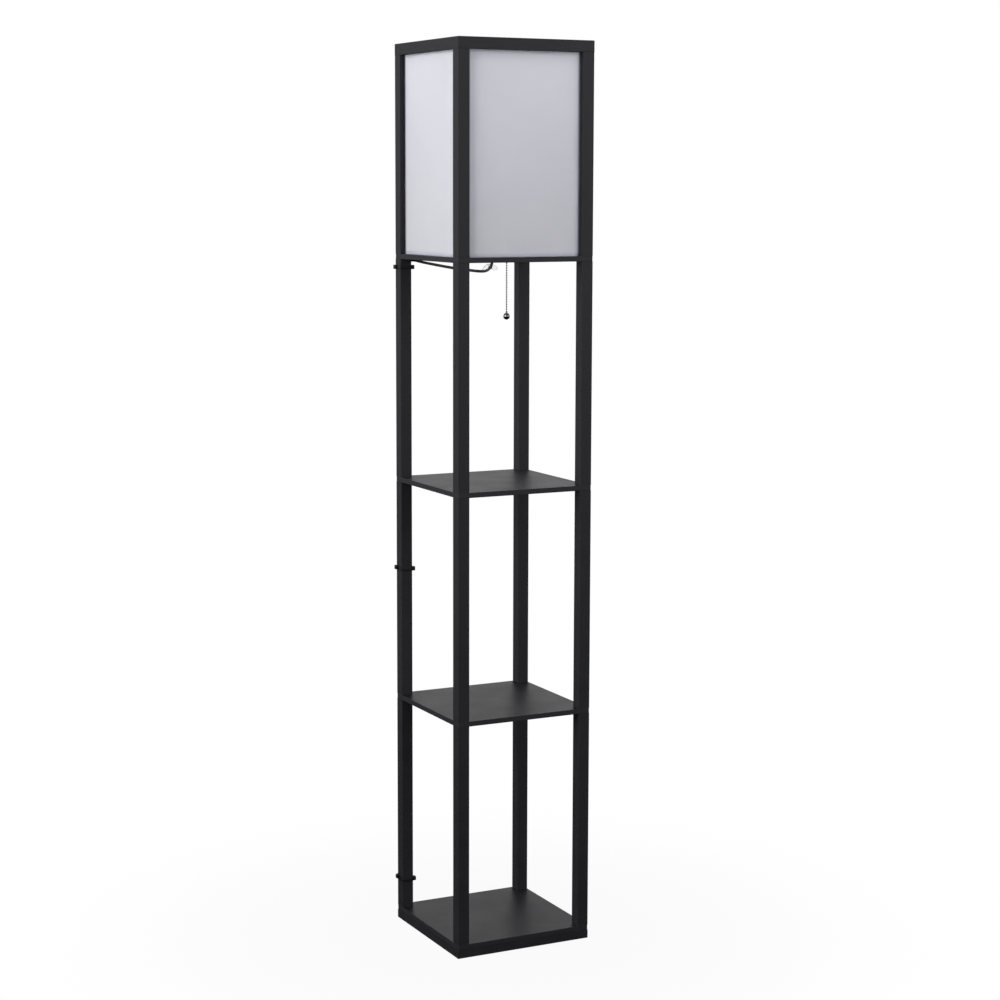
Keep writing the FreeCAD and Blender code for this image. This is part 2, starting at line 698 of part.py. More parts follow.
def lever_slot(top):
    """The way out for the lever through the walls of the cap and the shell."""
    half = SLOT_WIDTH / 2
    bottom = Z_BLOCK + POCKET_FLOOR
    return block(SPRING_X, HOLDER_RADIUS + 1, -half, half, bottom, min(top, Z_SLOT_TOP))


def holder_shell():
    """The upper shell round the lamp's thread, with a spigot in the cap and a lip at its mouth."""
    spigot = HOLDER_RADIUS - HOLDER_WALL - SPIGOT_CLEARANCE
    bore = spigot - HOLDER_WALL
    profile = [
        (spigot, Z_CAP_TOP - SHELL_SPIGOT),
        (spigot, Z_CAP_TOP),
        (HOLDER_RADIUS, Z_CAP_TOP),
        (HOLDER_RADIUS, Z_SHELL_TOP - SHELL_LIP),
        (HOLDER_RADIUS - SHELL_LIP / 2, Z_SHELL_TOP),
        (bore, Z_SHELL_TOP),
        (bore, Z_CAP_TOP - SHELL_SPIGOT),
    ]
    return turned(profile).cut(lever_slot(Z_SHELL_TOP))


def switch_block():
    """The insulating block that carries the switch, with a pocket open towards the chain."""
    shape = rod(BLOCK_RADIUS, Z_BLOCK, Z_BLOCK_TOP)
    half = POCKET_WIDTH / 2
    floor = Z_BLOCK + POCKET_FLOOR
    shape = shape.cut(block(-POCKET_BACK, BLOCK_RADIUS + 1, -half, half, floor, Z_BLOCK_TOP - POCKET_FLOOR))
    for x in (PIVOT_X, WHEEL_X):
        shape = shape.cut(cross_pin(x, PIN_RADIUS + PIN_CLEARANCE))
    return shape


def cross_pin(x, radius):
    """A pin across the pocket, along Y."""
    return Part.makeCylinder(radius, PIN_LENGTH, Vector(x, -PIN_LENGTH / 2, Z_AXLE), Vector(0, 1, 0))


def threaded_sleeve():
    """The metal sleeve that takes the lamp's thread, with rounded ridges pressed outwards."""
    outer = SLEEVE_RADIUS - SLEEVE_RIDGE
    top = Z_BLOCK_TOP + SLEEVE_HEIGHT
    step = SLEEVE_HEIGHT / (SLEEVE_RIDGES + 1)
    outside = [(outer, Z_BLOCK_TOP)]
    inside = [(outer - SLEEVE_WALL, Z_BLOCK_TOP)]
    for k in range(SLEEVE_RIDGES):
        middle = Z_BLOCK_TOP + (k + 1) * step
        for height, out in ((-0.35, 0.0), (-0.12, 1.0), (0.12, 1.0), (0.35, 0.0)):
            z = middle + height * step
            outside.append((outer + out * SLEEVE_RIDGE, z))
            inside.append((outer - SLEEVE_WALL + out * SLEEVE_RIDGE, z))
    outside.append((outer, top))
    inside.append((outer - SLEEVE_WALL, top))
    return turned(outside + inside[::-1])


def centre_contact():
    """The domed spring contact under the lamp."""
    low = Z_BLOCK_TOP
    crest = low + CONTACT_HEIGHT
    return turned([
        (0, low), (CONTACT_RADIUS, low), (CONTACT_RADIUS, low + CONTACT_RIM),
        (CONTACT_DOME, crest - CONTACT_DOME_DROP), (CONTACT_FLAT, crest), (0, crest),
    ])


def lever_cover():
    """The box over the lever's end, with the flared guide that the chain runs out of."""
    half = COVER_WIDTH / 2
    z0 = Z_SEAT + COVER_BOTTOM
    z1 = Z_SEAT + COVER_TOP
    x0 = SPRING_X
    wall = COVER_WALL
    shape = block(x0, COVER_OUTER, -half, half, z0, z1)
    shape = softened(shape, Vector(0, 0, 1), wall / 2)
    hollow = block(x0 - 1, COVER_OUTER - wall, wall - half, half - wall, z0 + wall, z1 - wall)
    guide_top = z0 + wall / 2
    guide_bottom = z0 - GUIDE_LENGTH
    flare_top = guide_bottom + GUIDE_FLARE_HEIGHT
    guide = turned(
        [(0, guide_bottom), (GUIDE_FLARE, guide_bottom), (GUIDE_FLARE, guide_bottom + GUIDE_LIP),
         (GUIDE_RADIUS, flare_top), (GUIDE_RADIUS, guide_top), (0, guide_top)],
        CHAIN_X,
    )
    bore = turned(
        [(0, guide_bottom), (GUIDE_MOUTH, guide_bottom), (GUIDE_BORE, flare_top),
         (GUIDE_BORE, z0 + wall + 1), (0, z0 + wall + 1)],
        CHAIN_X,
    )
    shape = joined([shape.cut(hollow), guide]).cut(bore)
    return shape.cut(rod(HOLDER_RADIUS + COVER_FIT, z0 - 10, z1 + 10))


def switch_wheel():
    """The ratchet wheel, at rest half a step below the pawl's level."""
    outline = []
    step = 360.0 / WHEEL_TEETH
    for k in range(WHEEL_TEETH):
        lead = k * step + TOOTH_LEAD - step / 2
        corners = ((WHEEL_ROOT, 0), (WHEEL_TIP, 0), (WHEEL_TIP, TOOTH_LAND), (WHEEL_ROOT, TOOTH_SPAN))
        for radius, turn in corners:
            angle = math.radians(lead + turn)
            outline.append((WHEEL_X + radius * math.cos(angle), Z_AXLE + radius * math.sin(angle)))
    shape = plate_xz(outline, -WHEEL_THICK / 2, WHEEL_THICK / 2)
    return shape.cut(cross_pin(WHEEL_X, PIN_RADIUS + PIN_CLEARANCE))


def pull_lever():
    """The lever: a pawl on one side of its pivot and the chain's eye on the other, eye end up."""
    half = LEVER_THICK / 2
    arm = LEVER_ARM / 2
    plate_start = LEVER_REACH - LEVER_PLATE_LENGTH / 2
    hub = Part.makeCylinder(LEVER_HUB, LEVER_THICK, Vector(PIVOT_X, -half, Z_AXLE), Vector(0, 1, 0))
    bar = block(PIVOT_X, PIVOT_X + plate_start + 1, -half, half, Z_AXLE - arm, Z_AXLE + arm)
    pawl = block(PIVOT_X - PAWL_REACH, PIVOT_X, -half, half, Z_AXLE - PAWL_BELOW, Z_AXLE + PAWL_ABOVE)
    wide = LEVER_PLATE_WIDTH / 2
    plate_x = PIVOT_X + plate_start
    plate = block(plate_x, plate_x + LEVER_PLATE_LENGTH, -wide, wide, Z_AXLE - half, Z_AXLE + half)
    shape = joined([hub, bar, pawl, plate]).cut(cross_pin(PIVOT_X, PIN_RADIUS + PIN_CLEARANCE))
    shape = shape.cut(rod(LEVER_EYE, Z_AXLE - 5, Z_AXLE + 5, PIVOT_X + LEVER_REACH))
    shape.rotate(Vector(PIVOT_X, 0, Z_AXLE), Vector(0, 1, 0), -LEVER_SWING / 2)
    return shape


def return_spring():
    """The spring that lifts the lever again, between the pocket's floor and the lever's arm."""
    under = Z_AXLE + (SPRING_X - PIVOT_X) * math.tan(HALF_SWING) - LEVER_ARM / 2 / math.cos(HALF_SWING)
    low_side = SPRING_RADIUS * math.tan(HALF_SWING)
    top = under - low_side - SPRING_GAP
    return helix_tube(SPRING_RADIUS, SPRING_WIRE, Z_BLOCK + POCKET_FLOOR, top, SPRING_TURNS, SPRING_X, 0.0)


def inner_lead(side):
    """One insulated lead from the end of the cord to the underside of the switch block."""
    start = Vector(side * LEAD_START_X, 0, Z_SHADE_FRAME + CORD_INSIDE)
    end = Vector(side * LEAD_END_X, 0, Z_BLOCK)
    up = Vector(0, 0, 1)
    return cord_tube(biarc(start, up, end, up), LEAD_RADIUS, start, up)


def make_holder():
    bottom = Z_SHADE_FRAME + TUBE_INSET
    lower_nut = Z_SHADE_FRAME + CROSSBAR_RECESS_DEPTH
    upper_nut = Z_SEAT + HOLDER_FLOOR
    parts["holder_cap"] = holder_cap()
    parts["holder_shell"] = holder_shell()
    parts["switch_block"] = switch_block()
    parts["threaded_sleeve"] = threaded_sleeve()
    parts["centre_contact"] = centre_contact()
    parts["threaded_tube"] = pipe_ring(TUBE_RADIUS, TUBE_BORE, bottom, upper_nut + NUT_THICK + TUBE_ABOVE_NUT)
    nuts = [hexagon_nut(lower_nut - NUT_THICK, lower_nut), hexagon_nut(upper_nut, upper_nut + NUT_THICK)]
    parts["tube_nuts"] = group(nuts)
    flange = pipe_ring(BUSHING_FLANGE_RADIUS, CORD_RADIUS, bottom - BUSHING_FLANGE_THICK, bottom)
    sleeve = pipe_ring(TUBE_BORE - TUBE_CLEARANCE, CORD_RADIUS, bottom, bottom + BUSHING_SLEEVE)
    parts["cord_bushing"] = joined([flange, sleeve])
    parts["lever_cover"] = lever_cover()
    parts["switch_wheel"] = switch_wheel()
    parts["pull_lever"] = pull_lever()
    parts["lever_spring"] = return_spring()
    parts["switch_pins"] = group([cross_pin(PIVOT_X, PIN_RADIUS), cross_pin(WHEEL_X, PIN_RADIUS)])
    parts["inner_leads"] = group([inner_lead(-1), inner_lead(1)])


# ---------------------------------------------------------------- chain
def bead_profile(heights, top, bottom):
    """Half section of a bead chain: beads on a thin link, from the top end down to the bottom end."""
    dip = math.sqrt(BEAD_RADIUS ** 2 - LINK_RADIUS ** 2)
    edges = []
    start = Vector(CHAIN_X, 0, top)
    last = Vector(CHAIN_X + LINK_RADIUS, 0, top)
    edges.append(Part.LineSegment(start, last).toShape())
    for z in heights:
        upper = Vector(CHAIN_X + LINK_RADIUS, 0, z + dip)
        middle = Vector(CHAIN_X + BEAD_RADIUS, 0, z)
        lower = Vector(CHAIN_X + LINK_RADIUS, 0, z - dip)
        edges.append(Part.LineSegment(last, upper).toShape())
        edges.append(Part.Arc(upper, middle, lower).toShape())
        last = lower
    end = Vector(CHAIN_X + LINK_RADIUS, 0, bottom)
    foot = Vector(CHAIN_X, 0, bottom)
    edges.append(Part.LineSegment(last, end).toShape())
    edges.append(Part.LineSegment(end, foot).toShape())
    edges.append(Part.LineSegment(foot, start).toShape())
    return Part.Face(Part.Wire(edges))


def bead_chain(heights, top, bottom):
    """A bead chain as one turned solid."""
    return bead_profile(heights, top, bottom).revolve(Vector(CHAIN_X, 0, 0), Vector(0, 0, 1), 360)


def make_chain():
    stem = [Z_STOP] + [Z_STEM_FIRST - k * BEAD_PITCH for k in range(STEM_BEADS)]
    stem_end = Z_STEM_LAST - BEAD_RADIUS - LINK_STUB
    parts["chain_stem"] = bead_chain(stem, Z_STOP + BEAD_RADIUS + LINK_STUB, stem_end)
    hanging = [Z_CHAIN_FIRST - k * BEAD_PITCH for k in range(CHAIN_BEADS)]
    bore_floor = Z_BALL + BALL_RADIUS - BALL_BORE_DEPTH
    parts["hanging_chain"] = bead_chain(hanging, stem_end - JOINT_GAP, bore_floor)
    ball = Part.makeSphere(BALL_RADIUS, Vector(CHAIN_X, 0, Z_BALL))
    bore = rod(LINK_RADIUS + BALL_BORE_CLEARANCE, bore_floor, Z_BALL + BALL_RADIUS + 1, CHAIN_X, 0)
    parts["chain_ball"] = ball.cut(bore)


# ---------------------------------------------------------------- bulb
def bulb_cap():
    """The bulb's cap: a contact button, rounded threads as plain rings, and a plain collar."""
    cap_top = Z_BULB + BULB_CAP_LENGTH
    rings_low = Z_BULB + BULB_RINGS_LOW
    rings_top = cap_top - BULB_COLLAR
    step = (rings_top - rings_low) / BULB_GROOVES
    groove = BULB_CAP_RADIUS - BULB_GROOVE_DEPTH
    outline = [
        (0, Z_BULB),
        (BULB_TIP_RADIUS, Z_BULB),
        (BULB_TIP_RADIUS, Z_BULB + BULB_TIP_HEIGHT),
        (groove - BULB_SHOULDER, rings_low - BULB_SHOULDER),
    ]
    for k in range(BULB_GROOVES):
        low = rings_low + k * step
        outline += [(groove, low), (BULB_CAP_RADIUS, low + step / 3), (BULB_CAP_RADIUS, low + 2 * step / 3)]
    outline += [(groove, rings_top), (BULB_CAP_RADIUS, rings_top + BULB_GROOVE_DEPTH)]
    outline += [(BULB_CAP_RADIUS, cap_top), (0, cap_top)]
    return turned(outline)


def bulb_glass():
    """The bulb's glass: a straight neck, a flank of two arcs and a round crown."""
    cap_top = Z_BULB + BULB_CAP_LENGTH
    middle = Vector(0, 0, Z_BULB + BULB_LENGTH - BULB_RADIUS)
    low = math.radians(BULB_FLANK_ANGLE)
    high = (low + math.pi / 2) / 2
    shoulder = middle + Vector(math.cos(low), 0, math.sin(low)) * BULB_RADIUS
    crown = middle + Vector(math.cos(high), 0, math.sin(high)) * BULB_RADIUS
    top = middle + Vector(0, 0, BULB_RADIUS)
    neck_foot = Vector(BULB_NECK_RADIUS, 0, cap_top)
    neck_top = neck_foot + Vector(0, 0, BULB_NECK)
    flank = biarc(neck_top, Vector(0, 0, 1), shoulder, Vector(-math.sin(low), 0, math.cos(low)))
    axis_foot = Vector(0, 0, cap_top)
    edges = [
        Part.LineSegment(axis_foot, neck_foot).toShape(),
        Part.LineSegment(neck_foot, neck_top).toShape(),
        flank[0],
        flank[1],
        Part.Arc(shoulder, crown, top).toShape(),
        Part.LineSegment(top, axis_foot).toShape(),
    ]
    face = Part.Face(Part.Wire(Part.__sortEdges__(edges)))
    return face.revolve(Vector(0, 0, 0), Vector(0, 0, 1), 360)


def make_bulb():
    parts["bulb_cap"] = bulb_cap()
    parts["bulb_glass"] = bulb_glass()


# ---------------------------------------------------------------- cord
CORD_BACK = HALF_D + CORD_SLACK + CORD_RADIUS   # middle of the cord behind the post
CORD_LOW = FLOOR_GAP + CORD_RADIUS              # middle of the cord on the floor
CORD_START = Z_SHADE_FRAME + CORD_INSIDE
HANK_MIDDLE_X = HANK_START_X + HANK_HALF_RUN
HANK_MIDDLE_Y = CORD_BACK + HANK_BEND
PLUG_Z = PLUG_FLOOR_GAP + PLUG_THICK / 2
TAIL_END = Vector(HANK_MIDDLE_X + HANK_HALF_RUN + HANK_TAIL, HANK_MIDDLE_Y, PLUG_Z)

# From inside the holder, out and under the frame, round the post and down behind it to the floor
CORD_ROUTE = [
    (0.0, 0.0, CORD_START),
    (0.0, 0.0, 1214.0),
    (-6.4, 8.3, 1202.3),
    (-16.0, 20.5, 1201.3),
    (-31.5, 41.0, 1202.8),
    (-50.5, 64.5, 1206.2),
    (-71.0, 91.5, 1211.8),
    (-87.5, 114.0, 1216.2),
    (-95.0, 125.6, 1219.3),
    (-105.0, 132.6, 1218.2),
    (-115.8, 133.2, 1212.4),
    (-122.6, CORD_BACK, 1199.5),
    (-120.6, CORD_BACK, 1172.0),
    (-119.4, CORD_BACK, 640.0),
    (-120.0, CORD_BACK, CORD_LOW),
    (HANK_START_X, CORD_BACK, CORD_LOW),
]


def hank_edges():
    """The hank: a loop and a half of long runs drawn in at the tie, the second run on the first."""
    a, r, w = HANK_HALF_RUN, HANK_BEND, HANK_WAIST
    low = CORD_LOW
    high = CORD_LOW + HANK_PITCH
    slope = 1.5 * HANK_PITCH / (2 * a)
    right, left, back, front = (1, 0, 0), (-1, 0, 0), (0, 1, 0), (0, -1, 0)
    stations = [
        ((-a, -r, low), right),
        ((0, -w, low + HANK_LIFT), right),
        ((a, -r, low), right),
        ((a + r, 0, low), back),
        ((a, r, low), left),
        ((0, w, (low + high) / 2), (-1, 0, slope)),
        ((-a, r, high), left),
        ((-a - r, 0, high), front),
        ((-a, -r, high), right),
        ((0, -w, high + HANK_LIFT), right),
        ((a, -r, high), right),
        ((a + HANK_TAIL, 0, PLUG_Z), right),
    ]
    middle = Vector(HANK_MIDDLE_X, HANK_MIDDLE_Y, 0)
    edges = []
    for (p, t), (q, u) in zip(stations, stations[1:]):
        edges += biarc(middle + Vector(*p), t, middle + Vector(*q), u)
    return edges


def strap(corners, thick, width):
    """A closed strap round an outline of corners, with rounded bends outside."""
    inner = Part.makePolygon(corners + corners[:1])
    outer = inner.makeOffset2D(thick)
    if Part.Face(outer).Area < Part.Face(inner).Area:
        outer = inner.makeOffset2D(-thick)
    return Part.Face(outer).extrude(width).cut(Part.Face(inner).extrude(width))


def post_tie(z):
    """Two linked straps round the back left post and the cord, with a head on each side of the post."""
    x, y = CORNERS["back_left"]
    half = POST / 2 + TIE_SLACK
    crest = CORD_BACK + CORD_RADIUS + TIE_CREST_SLACK
    outline = [
        (x - half, y - half), (x + half, y - half), (x + half, y + half),
        (x + TIE_CREST, crest), (x - TIE_CREST, crest), (x - half, y + half),
    ]
    corners = [Vector(px, py, z - TIE_WIDTH / 2) for px, py in outline]
    band = strap(corners, TIE_THICK, Vector(0, 0, TIE_WIDTH))
    long, wide, tall = TIE_HEAD
    head = block(x + half, x + half + long, y - half, y - half + wide, z - tall / 2, z + tall / 2)
    head = softened(head, Vector(1, 0, 0), TIE_HEAD_EDGE)
    long, wide, tall = TIE_OUTER_HEAD
    outer = block(x - half - long, x - half, y + half - wide, y + half, z - tall / 2, z + tall / 2)
    outer = softened(outer, Vector(1, 0, 0), TIE_HEAD_EDGE)
    return joined([band, head, outer])


def hank_tie():
    """The tie round the hank's waist, with its head on the far side."""
    x = HANK_MIDDLE_X
    near = HANK_MIDDLE_Y - HANK_WAIST
    far = HANK_MIDDLE_Y + HANK_WAIST
    reach = CORD_RADIUS + TIE_SLACK
    bottom = CORD_LOW + HANK_LIFT - reach
    top = CORD_LOW + HANK_LIFT + HANK_PITCH + reach
    far_top = CORD_LOW + HANK_PITCH / 2 + reach
    outline = [
        (near - reach, bottom), (far + reach, bottom), (far + reach, far_top),
        (near + reach, top), (near - reach, top),
    ]
    corners = [Vector(x - HANK_TIE_WIDTH / 2, y, z) for y, z in outline]
    band = strap(corners, HANK_TIE_THICK, Vector(HANK_TIE_WIDTH, 0, 0))
    tall, deep, high = HANK_TIE_HEAD
    seat = far + reach
    head = block(x - tall / 2, x + tall / 2, seat, seat + deep, bottom, bottom + high)
    return joined([band, head])


def hexagon_section(x, width, thick, flat):
    """An upright hexagonal section of the plug, wide at mid height and flat above and below."""
    y, z = HANK_MIDDLE_Y, PLUG_Z
    points = [
        (-width / 2, 0), (-flat / 2, -thick / 2), (flat / 2, -thick / 2),
        (width / 2, 0), (flat / 2, thick / 2), (-flat / 2, thick / 2),
    ]
    corners = [Vector(x, y + py, z + pz) for py, pz in points]
    return Part.makePolygon(corners + corners[:1])


def make_plug():
    x0 = TAIL_END.x
    x1 = x0 + PLUG_RELIEF
    x2 = x1 + PLUG_TAPER
    x3 = x2 + PLUG_BODY
    axis = Vector(1, 0, 0)
    relief = Part.makeCone(PLUG_RELIEF_END, PLUG_RELIEF_RADIUS, PLUG_RELIEF, TAIL_END, axis)
    back = hexagon_section(x1, PLUG_BACK_WIDTH, PLUG_BACK_THICK, PLUG_BACK_TOP_WIDTH)
    shoulder = hexagon_section(x2, PLUG_WIDTH, PLUG_THICK, PLUG_TOP_WIDTH)
    face = hexagon_section(x3, PLUG_WIDTH, PLUG_THICK, PLUG_TOP_WIDTH)
    body = joined([Part.makeLoft([back, shoulder], True, True), Part.makeLoft([shoulder, face], True, True)])
    parts["plug_body"] = joined([body, relief])
    pins = []
    for side in (-0.5, 0.5):
        base = Vector(x3, HANK_MIDDLE_Y + side * PLUG_PIN_SPACING, PLUG_Z)
        pin = Part.makeCylinder(PLUG_PIN_RADIUS, PLUG_PIN_LENGTH, base, axis)
        tip = [edge for edge in pin.Edges if edge.BoundBox.XMin > x3 + PLUG_PIN_LENGTH / 2]
        pins.append(pin.makeFillet(PLUG_PIN_ROUND, tip))
    parts["plug_pins"] = group(pins)


def make_cord():
    edges, radii = rounded_route(CORD_ROUTE)
    print("cord bend radii:", " ".join("%.1f" % r for r in radii))
    tube = cord_tube(edges, CORD_RADIUS, Vector(*CORD_ROUTE[0]), Vector(0, 0, -1))
    check_tube("cord", tube, edges, CORD_RADIUS)
    parts["cord"] = tube
    wound = hank_edges()
    start = Vector(HANK_START_X, CORD_BACK, CORD_LOW)
    coil = cord_tube(wound, CORD_RADIUS, start, Vector(1, 0, 0))
    check_tube("hank", coil, wound, CORD_RADIUS)
    print("least gap between the hank's strands %.2f mm" % least_self_gap(wound, CORD_RADIUS, 1.5))
    parts["cord_hank"] = coil
    print("whole cord %.1f mm" % (path_length(edges) + path_length(wound)))
    parts["cord_ties"] = group([post_tie(z) for z in TIE_HEIGHTS] + [hank_tie()])


make_base()
make_shelves()
make_shade()
make_holder()
make_chain()
make_bulb()
make_cord()
make_plug()

for name, shape in parts.items():
    shape.exportStep("parts/" + name + ".step")
print(len(parts), "nodes")
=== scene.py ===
"""Shelf floor lamp: the visual model, dressed over its fixed frame.

Everything is in metres: X to the right across the front, Y to the back, Z up from the floor.
"""
import math

import bmesh
import bpy
import numpy as np
from bpy.props import FloatProperty, FloatVectorProperty, IntProperty, PointerProperty
from mathutils import Matrix, Vector


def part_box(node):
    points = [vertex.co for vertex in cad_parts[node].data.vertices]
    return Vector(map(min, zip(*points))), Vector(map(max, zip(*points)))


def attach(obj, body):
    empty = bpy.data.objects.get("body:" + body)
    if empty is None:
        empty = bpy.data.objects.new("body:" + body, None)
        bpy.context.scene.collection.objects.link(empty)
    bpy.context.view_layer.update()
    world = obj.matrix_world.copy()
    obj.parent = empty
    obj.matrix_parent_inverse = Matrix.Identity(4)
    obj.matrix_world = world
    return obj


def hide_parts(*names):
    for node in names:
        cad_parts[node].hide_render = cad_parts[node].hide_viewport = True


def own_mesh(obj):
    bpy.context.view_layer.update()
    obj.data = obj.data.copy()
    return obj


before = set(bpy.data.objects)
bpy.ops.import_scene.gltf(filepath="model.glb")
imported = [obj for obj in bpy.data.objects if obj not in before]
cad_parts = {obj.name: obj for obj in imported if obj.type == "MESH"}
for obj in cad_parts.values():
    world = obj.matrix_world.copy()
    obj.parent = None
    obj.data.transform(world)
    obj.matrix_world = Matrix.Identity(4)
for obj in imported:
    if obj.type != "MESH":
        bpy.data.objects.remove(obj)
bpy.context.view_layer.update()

bl_info = {
    "name": "Shelf Floor Lamp",
    "version": (1, 0, 0),
    "blender": (4, 5, 0),
    "location": "View3D > Sidebar > Lamp",
    "description": "Builds the pieces and finishes of a shelf floor lamp with a square shade",
    "category": "Add Mesh",
}

CORNERS = ("front_left", "front_right", "back_left", "back_right")
SIDES = ("front", "back", "left", "right")
MM = 0.001

# Places taken from the frame, in metres
BALL = sum(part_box("chain_ball"), Vector()) / 2
PLUG_LOW, PLUG_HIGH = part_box("plug_body")
PIN_LOW, PIN_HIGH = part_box("plug_pins")
BULB_LOW, BULB_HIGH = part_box("bulb_glass")
CAP_LOW, CAP_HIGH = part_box("bulb_cap")
BOLT_LOW, BOLT_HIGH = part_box("base_bolts")
STEM_LOW, STEM_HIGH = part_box("chain_stem")
POST_LOW, POST_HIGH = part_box("lower_post_back_left")
SPRING_LOW, SPRING_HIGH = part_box("lever_spring")


def linear(code):
    """An sRGB hex colour as the three linear values that a shader takes."""
    values = np.array([int(code[i:i + 2], 16) for i in (1, 3, 5)]) / 255
    return tuple(np.where(values <= 0.04045, values / 12.92, ((values + 0.055) / 1.055) ** 2.4).tolist())


# ---------------------------------------------------------------- sizes and colours
class LampSizes(bpy.types.PropertyGroup):
    """Sizes of the pieces that are made here."""

    cord_diameter: FloatProperty(
        name="Cord Diameter", description="Outside of the round mains cord",
        default=0.005, min=0.003, max=0.008, precision=4, subtype="DISTANCE", unit="LENGTH")
    bead_radius: FloatProperty(
        name="Bead Radius", description="Radius of a bead of the pull chain",
        default=0.0015, min=0.001, max=0.003, precision=4, subtype="DISTANCE", unit="LENGTH")
    bead_pitch: FloatProperty(
        name="Bead Pitch", description="Distance from bead to bead",
        default=0.0043, min=0.003, max=0.008, precision=4, subtype="DISTANCE", unit="LENGTH")
    ball_radius: FloatProperty(
        name="Ball Radius", description="Radius of the ball at the end of the chain",
        default=0.006, min=0.003, max=0.01, precision=4, subtype="DISTANCE", unit="LENGTH")
    tie_width: FloatProperty(
        name="Tie Width", description="Width of a cable tie",
        default=0.0048, min=0.002, max=0.01, precision=4, subtype="DISTANCE", unit="LENGTH")
    tie_thickness: FloatProperty(
        name="Tie Thickness", description="Thickness of a cable tie round the post",
        default=0.0012, min=0.0006, max=0.002, precision=4, subtype="DISTANCE", unit="LENGTH")
    thread_pitch: FloatProperty(
        name="Lamp Thread Pitch", description="Rise of the lamp cap's thread in one turn",
        default=0.00362, min=0.002, max=0.006, precision=5, subtype="DISTANCE", unit="LENGTH")
    round_steps: IntProperty(
        name="Round Steps", description="Points round a turned piece",
        default=48, min=12, max=128)


class LampColours(bpy.types.PropertyGroup):
    """Colours of the finishes."""

    lacquer: FloatVectorProperty(
        name="Black Lacquer", description="Satin lacquer of the posts and rails",
        default=linear("#131317"), size=3, min=0, max=1, subtype="COLOR")
    board: FloatVectorProperty(
        name="Black Board", description="Satin facing of the shelves and the base",
        default=linear("#131317"), size=3, min=0, max=1, subtype="COLOR")
    shade: FloatVectorProperty(
        name="Shade Sheet", description="Pale translucent sheet of the shade",
        default=linear("#e1e1f8"), size=3, min=0, max=1, subtype="COLOR")
    cord: FloatVectorProperty(
        name="Cord", description="Sheath of the mains cord",
        default=linear("#141415"), size=3, min=0, max=1, subtype="COLOR")


# ---------------------------------------------------------------- meshes from numpy arrays
def grid_faces(rows, columns, wrap_rows):
    """Quads between neighbours in a grid of points numbered row by row, each row a closed ring."""
    r = np.arange(rows if wrap_rows else rows - 1)
    i, j = (a.ravel() for a in np.meshgrid(r, np.arange(columns), indexing="ij"))
    up, on = (i + 1) % rows, (j + 1) % columns
    return np.stack([i * columns + j, i * columns + on, up * columns + on, up * columns + j], 1)


def surface(name, grids, wrap_rows=False, sharp=40.0):
    """An object from grids of points: rows along a path, columns round a closed section.

    Each grid is rows x columns x 3. A grid whose rows don't wrap gets one point, the mean of its
    first or last row, at each end, so the shell is closed. Doubled points are merged and faces
    turned outwards.
    """
    points, faces, count = [], [], 0
    for grid in grids:
        grid = np.asarray(grid, float)
        if not wrap_rows:
            first = np.repeat(grid[:1].mean(1, keepdims=True), grid.shape[1], 1)
            last = np.repeat(grid[-1:].mean(1, keepdims=True), grid.shape[1], 1)
            grid = np.concatenate([first, grid, last])
        rows, columns = grid.shape[:2]
        points.append(grid.reshape(-1, 3))
        faces.append(grid_faces(rows, columns, wrap_rows) + count)
        count += rows * columns
    mesh = bpy.data.meshes.new(name)
    mesh.from_pydata(np.concatenate(points).tolist(), [], np.concatenate(faces).tolist())
    shell = bmesh.new()
    shell.from_mesh(mesh)
    bmesh.ops.remove_doubles(shell, verts=shell.verts, dist=1e-7)
    bmesh.ops.recalc_face_normals(shell, faces=shell.faces)
    shell.to_mesh(mesh)
    shell.free()
    mesh.polygons.foreach_set("use_smooth", np.ones(len(mesh.polygons), bool))
    mesh.set_sharp_from_angle(angle=math.radians(sharp))
    piece = bpy.data.objects.new(name, mesh)
    bpy.context.scene.collection.objects.link(piece)
    return piece


def round_angles(steps):
    """Angles evenly round a circle, in radians."""
    return np.linspace(0, math.tau, steps, endpoint=False)


def unit(vectors):
    """Vectors brought to a length of one."""
    return vectors / np.linalg.norm(vectors, axis=-1, keepdims=True)


def turned(profile, steps, centre=(0, 0, 0), axis="Z"):
    """A surface of revolution: (r cos a, r sin a, h) for each radius and height of the profile."""
    profile = np.asarray(profile, float)
    a = round_angles(steps)
    r, h = profile[:, :1], np.repeat(profile[:, 1:], steps, 1)
    x, y = r * np.cos(a), r * np.sin(a)
    around = {"Z": (x, y, h), "X": (h, x, y)}[axis]
    return np.stack(around, -1) + np.asarray(centre, float)


def rings(start, *sizes):
    """Profile points in metres, from radii and heights in millimetres over a starting height."""
    return (np.array(sizes) * MM + (0.0, start)).tolist()


def arc(centre, radius, start, end, count):
    """Points of a circle in the plane of radius and height, between two angles in degrees."""
    a = np.radians(np.linspace(start, end, count))
    return np.stack([centre[0] + radius * np.cos(a), centre[1] + radius * np.sin(a)], 1)


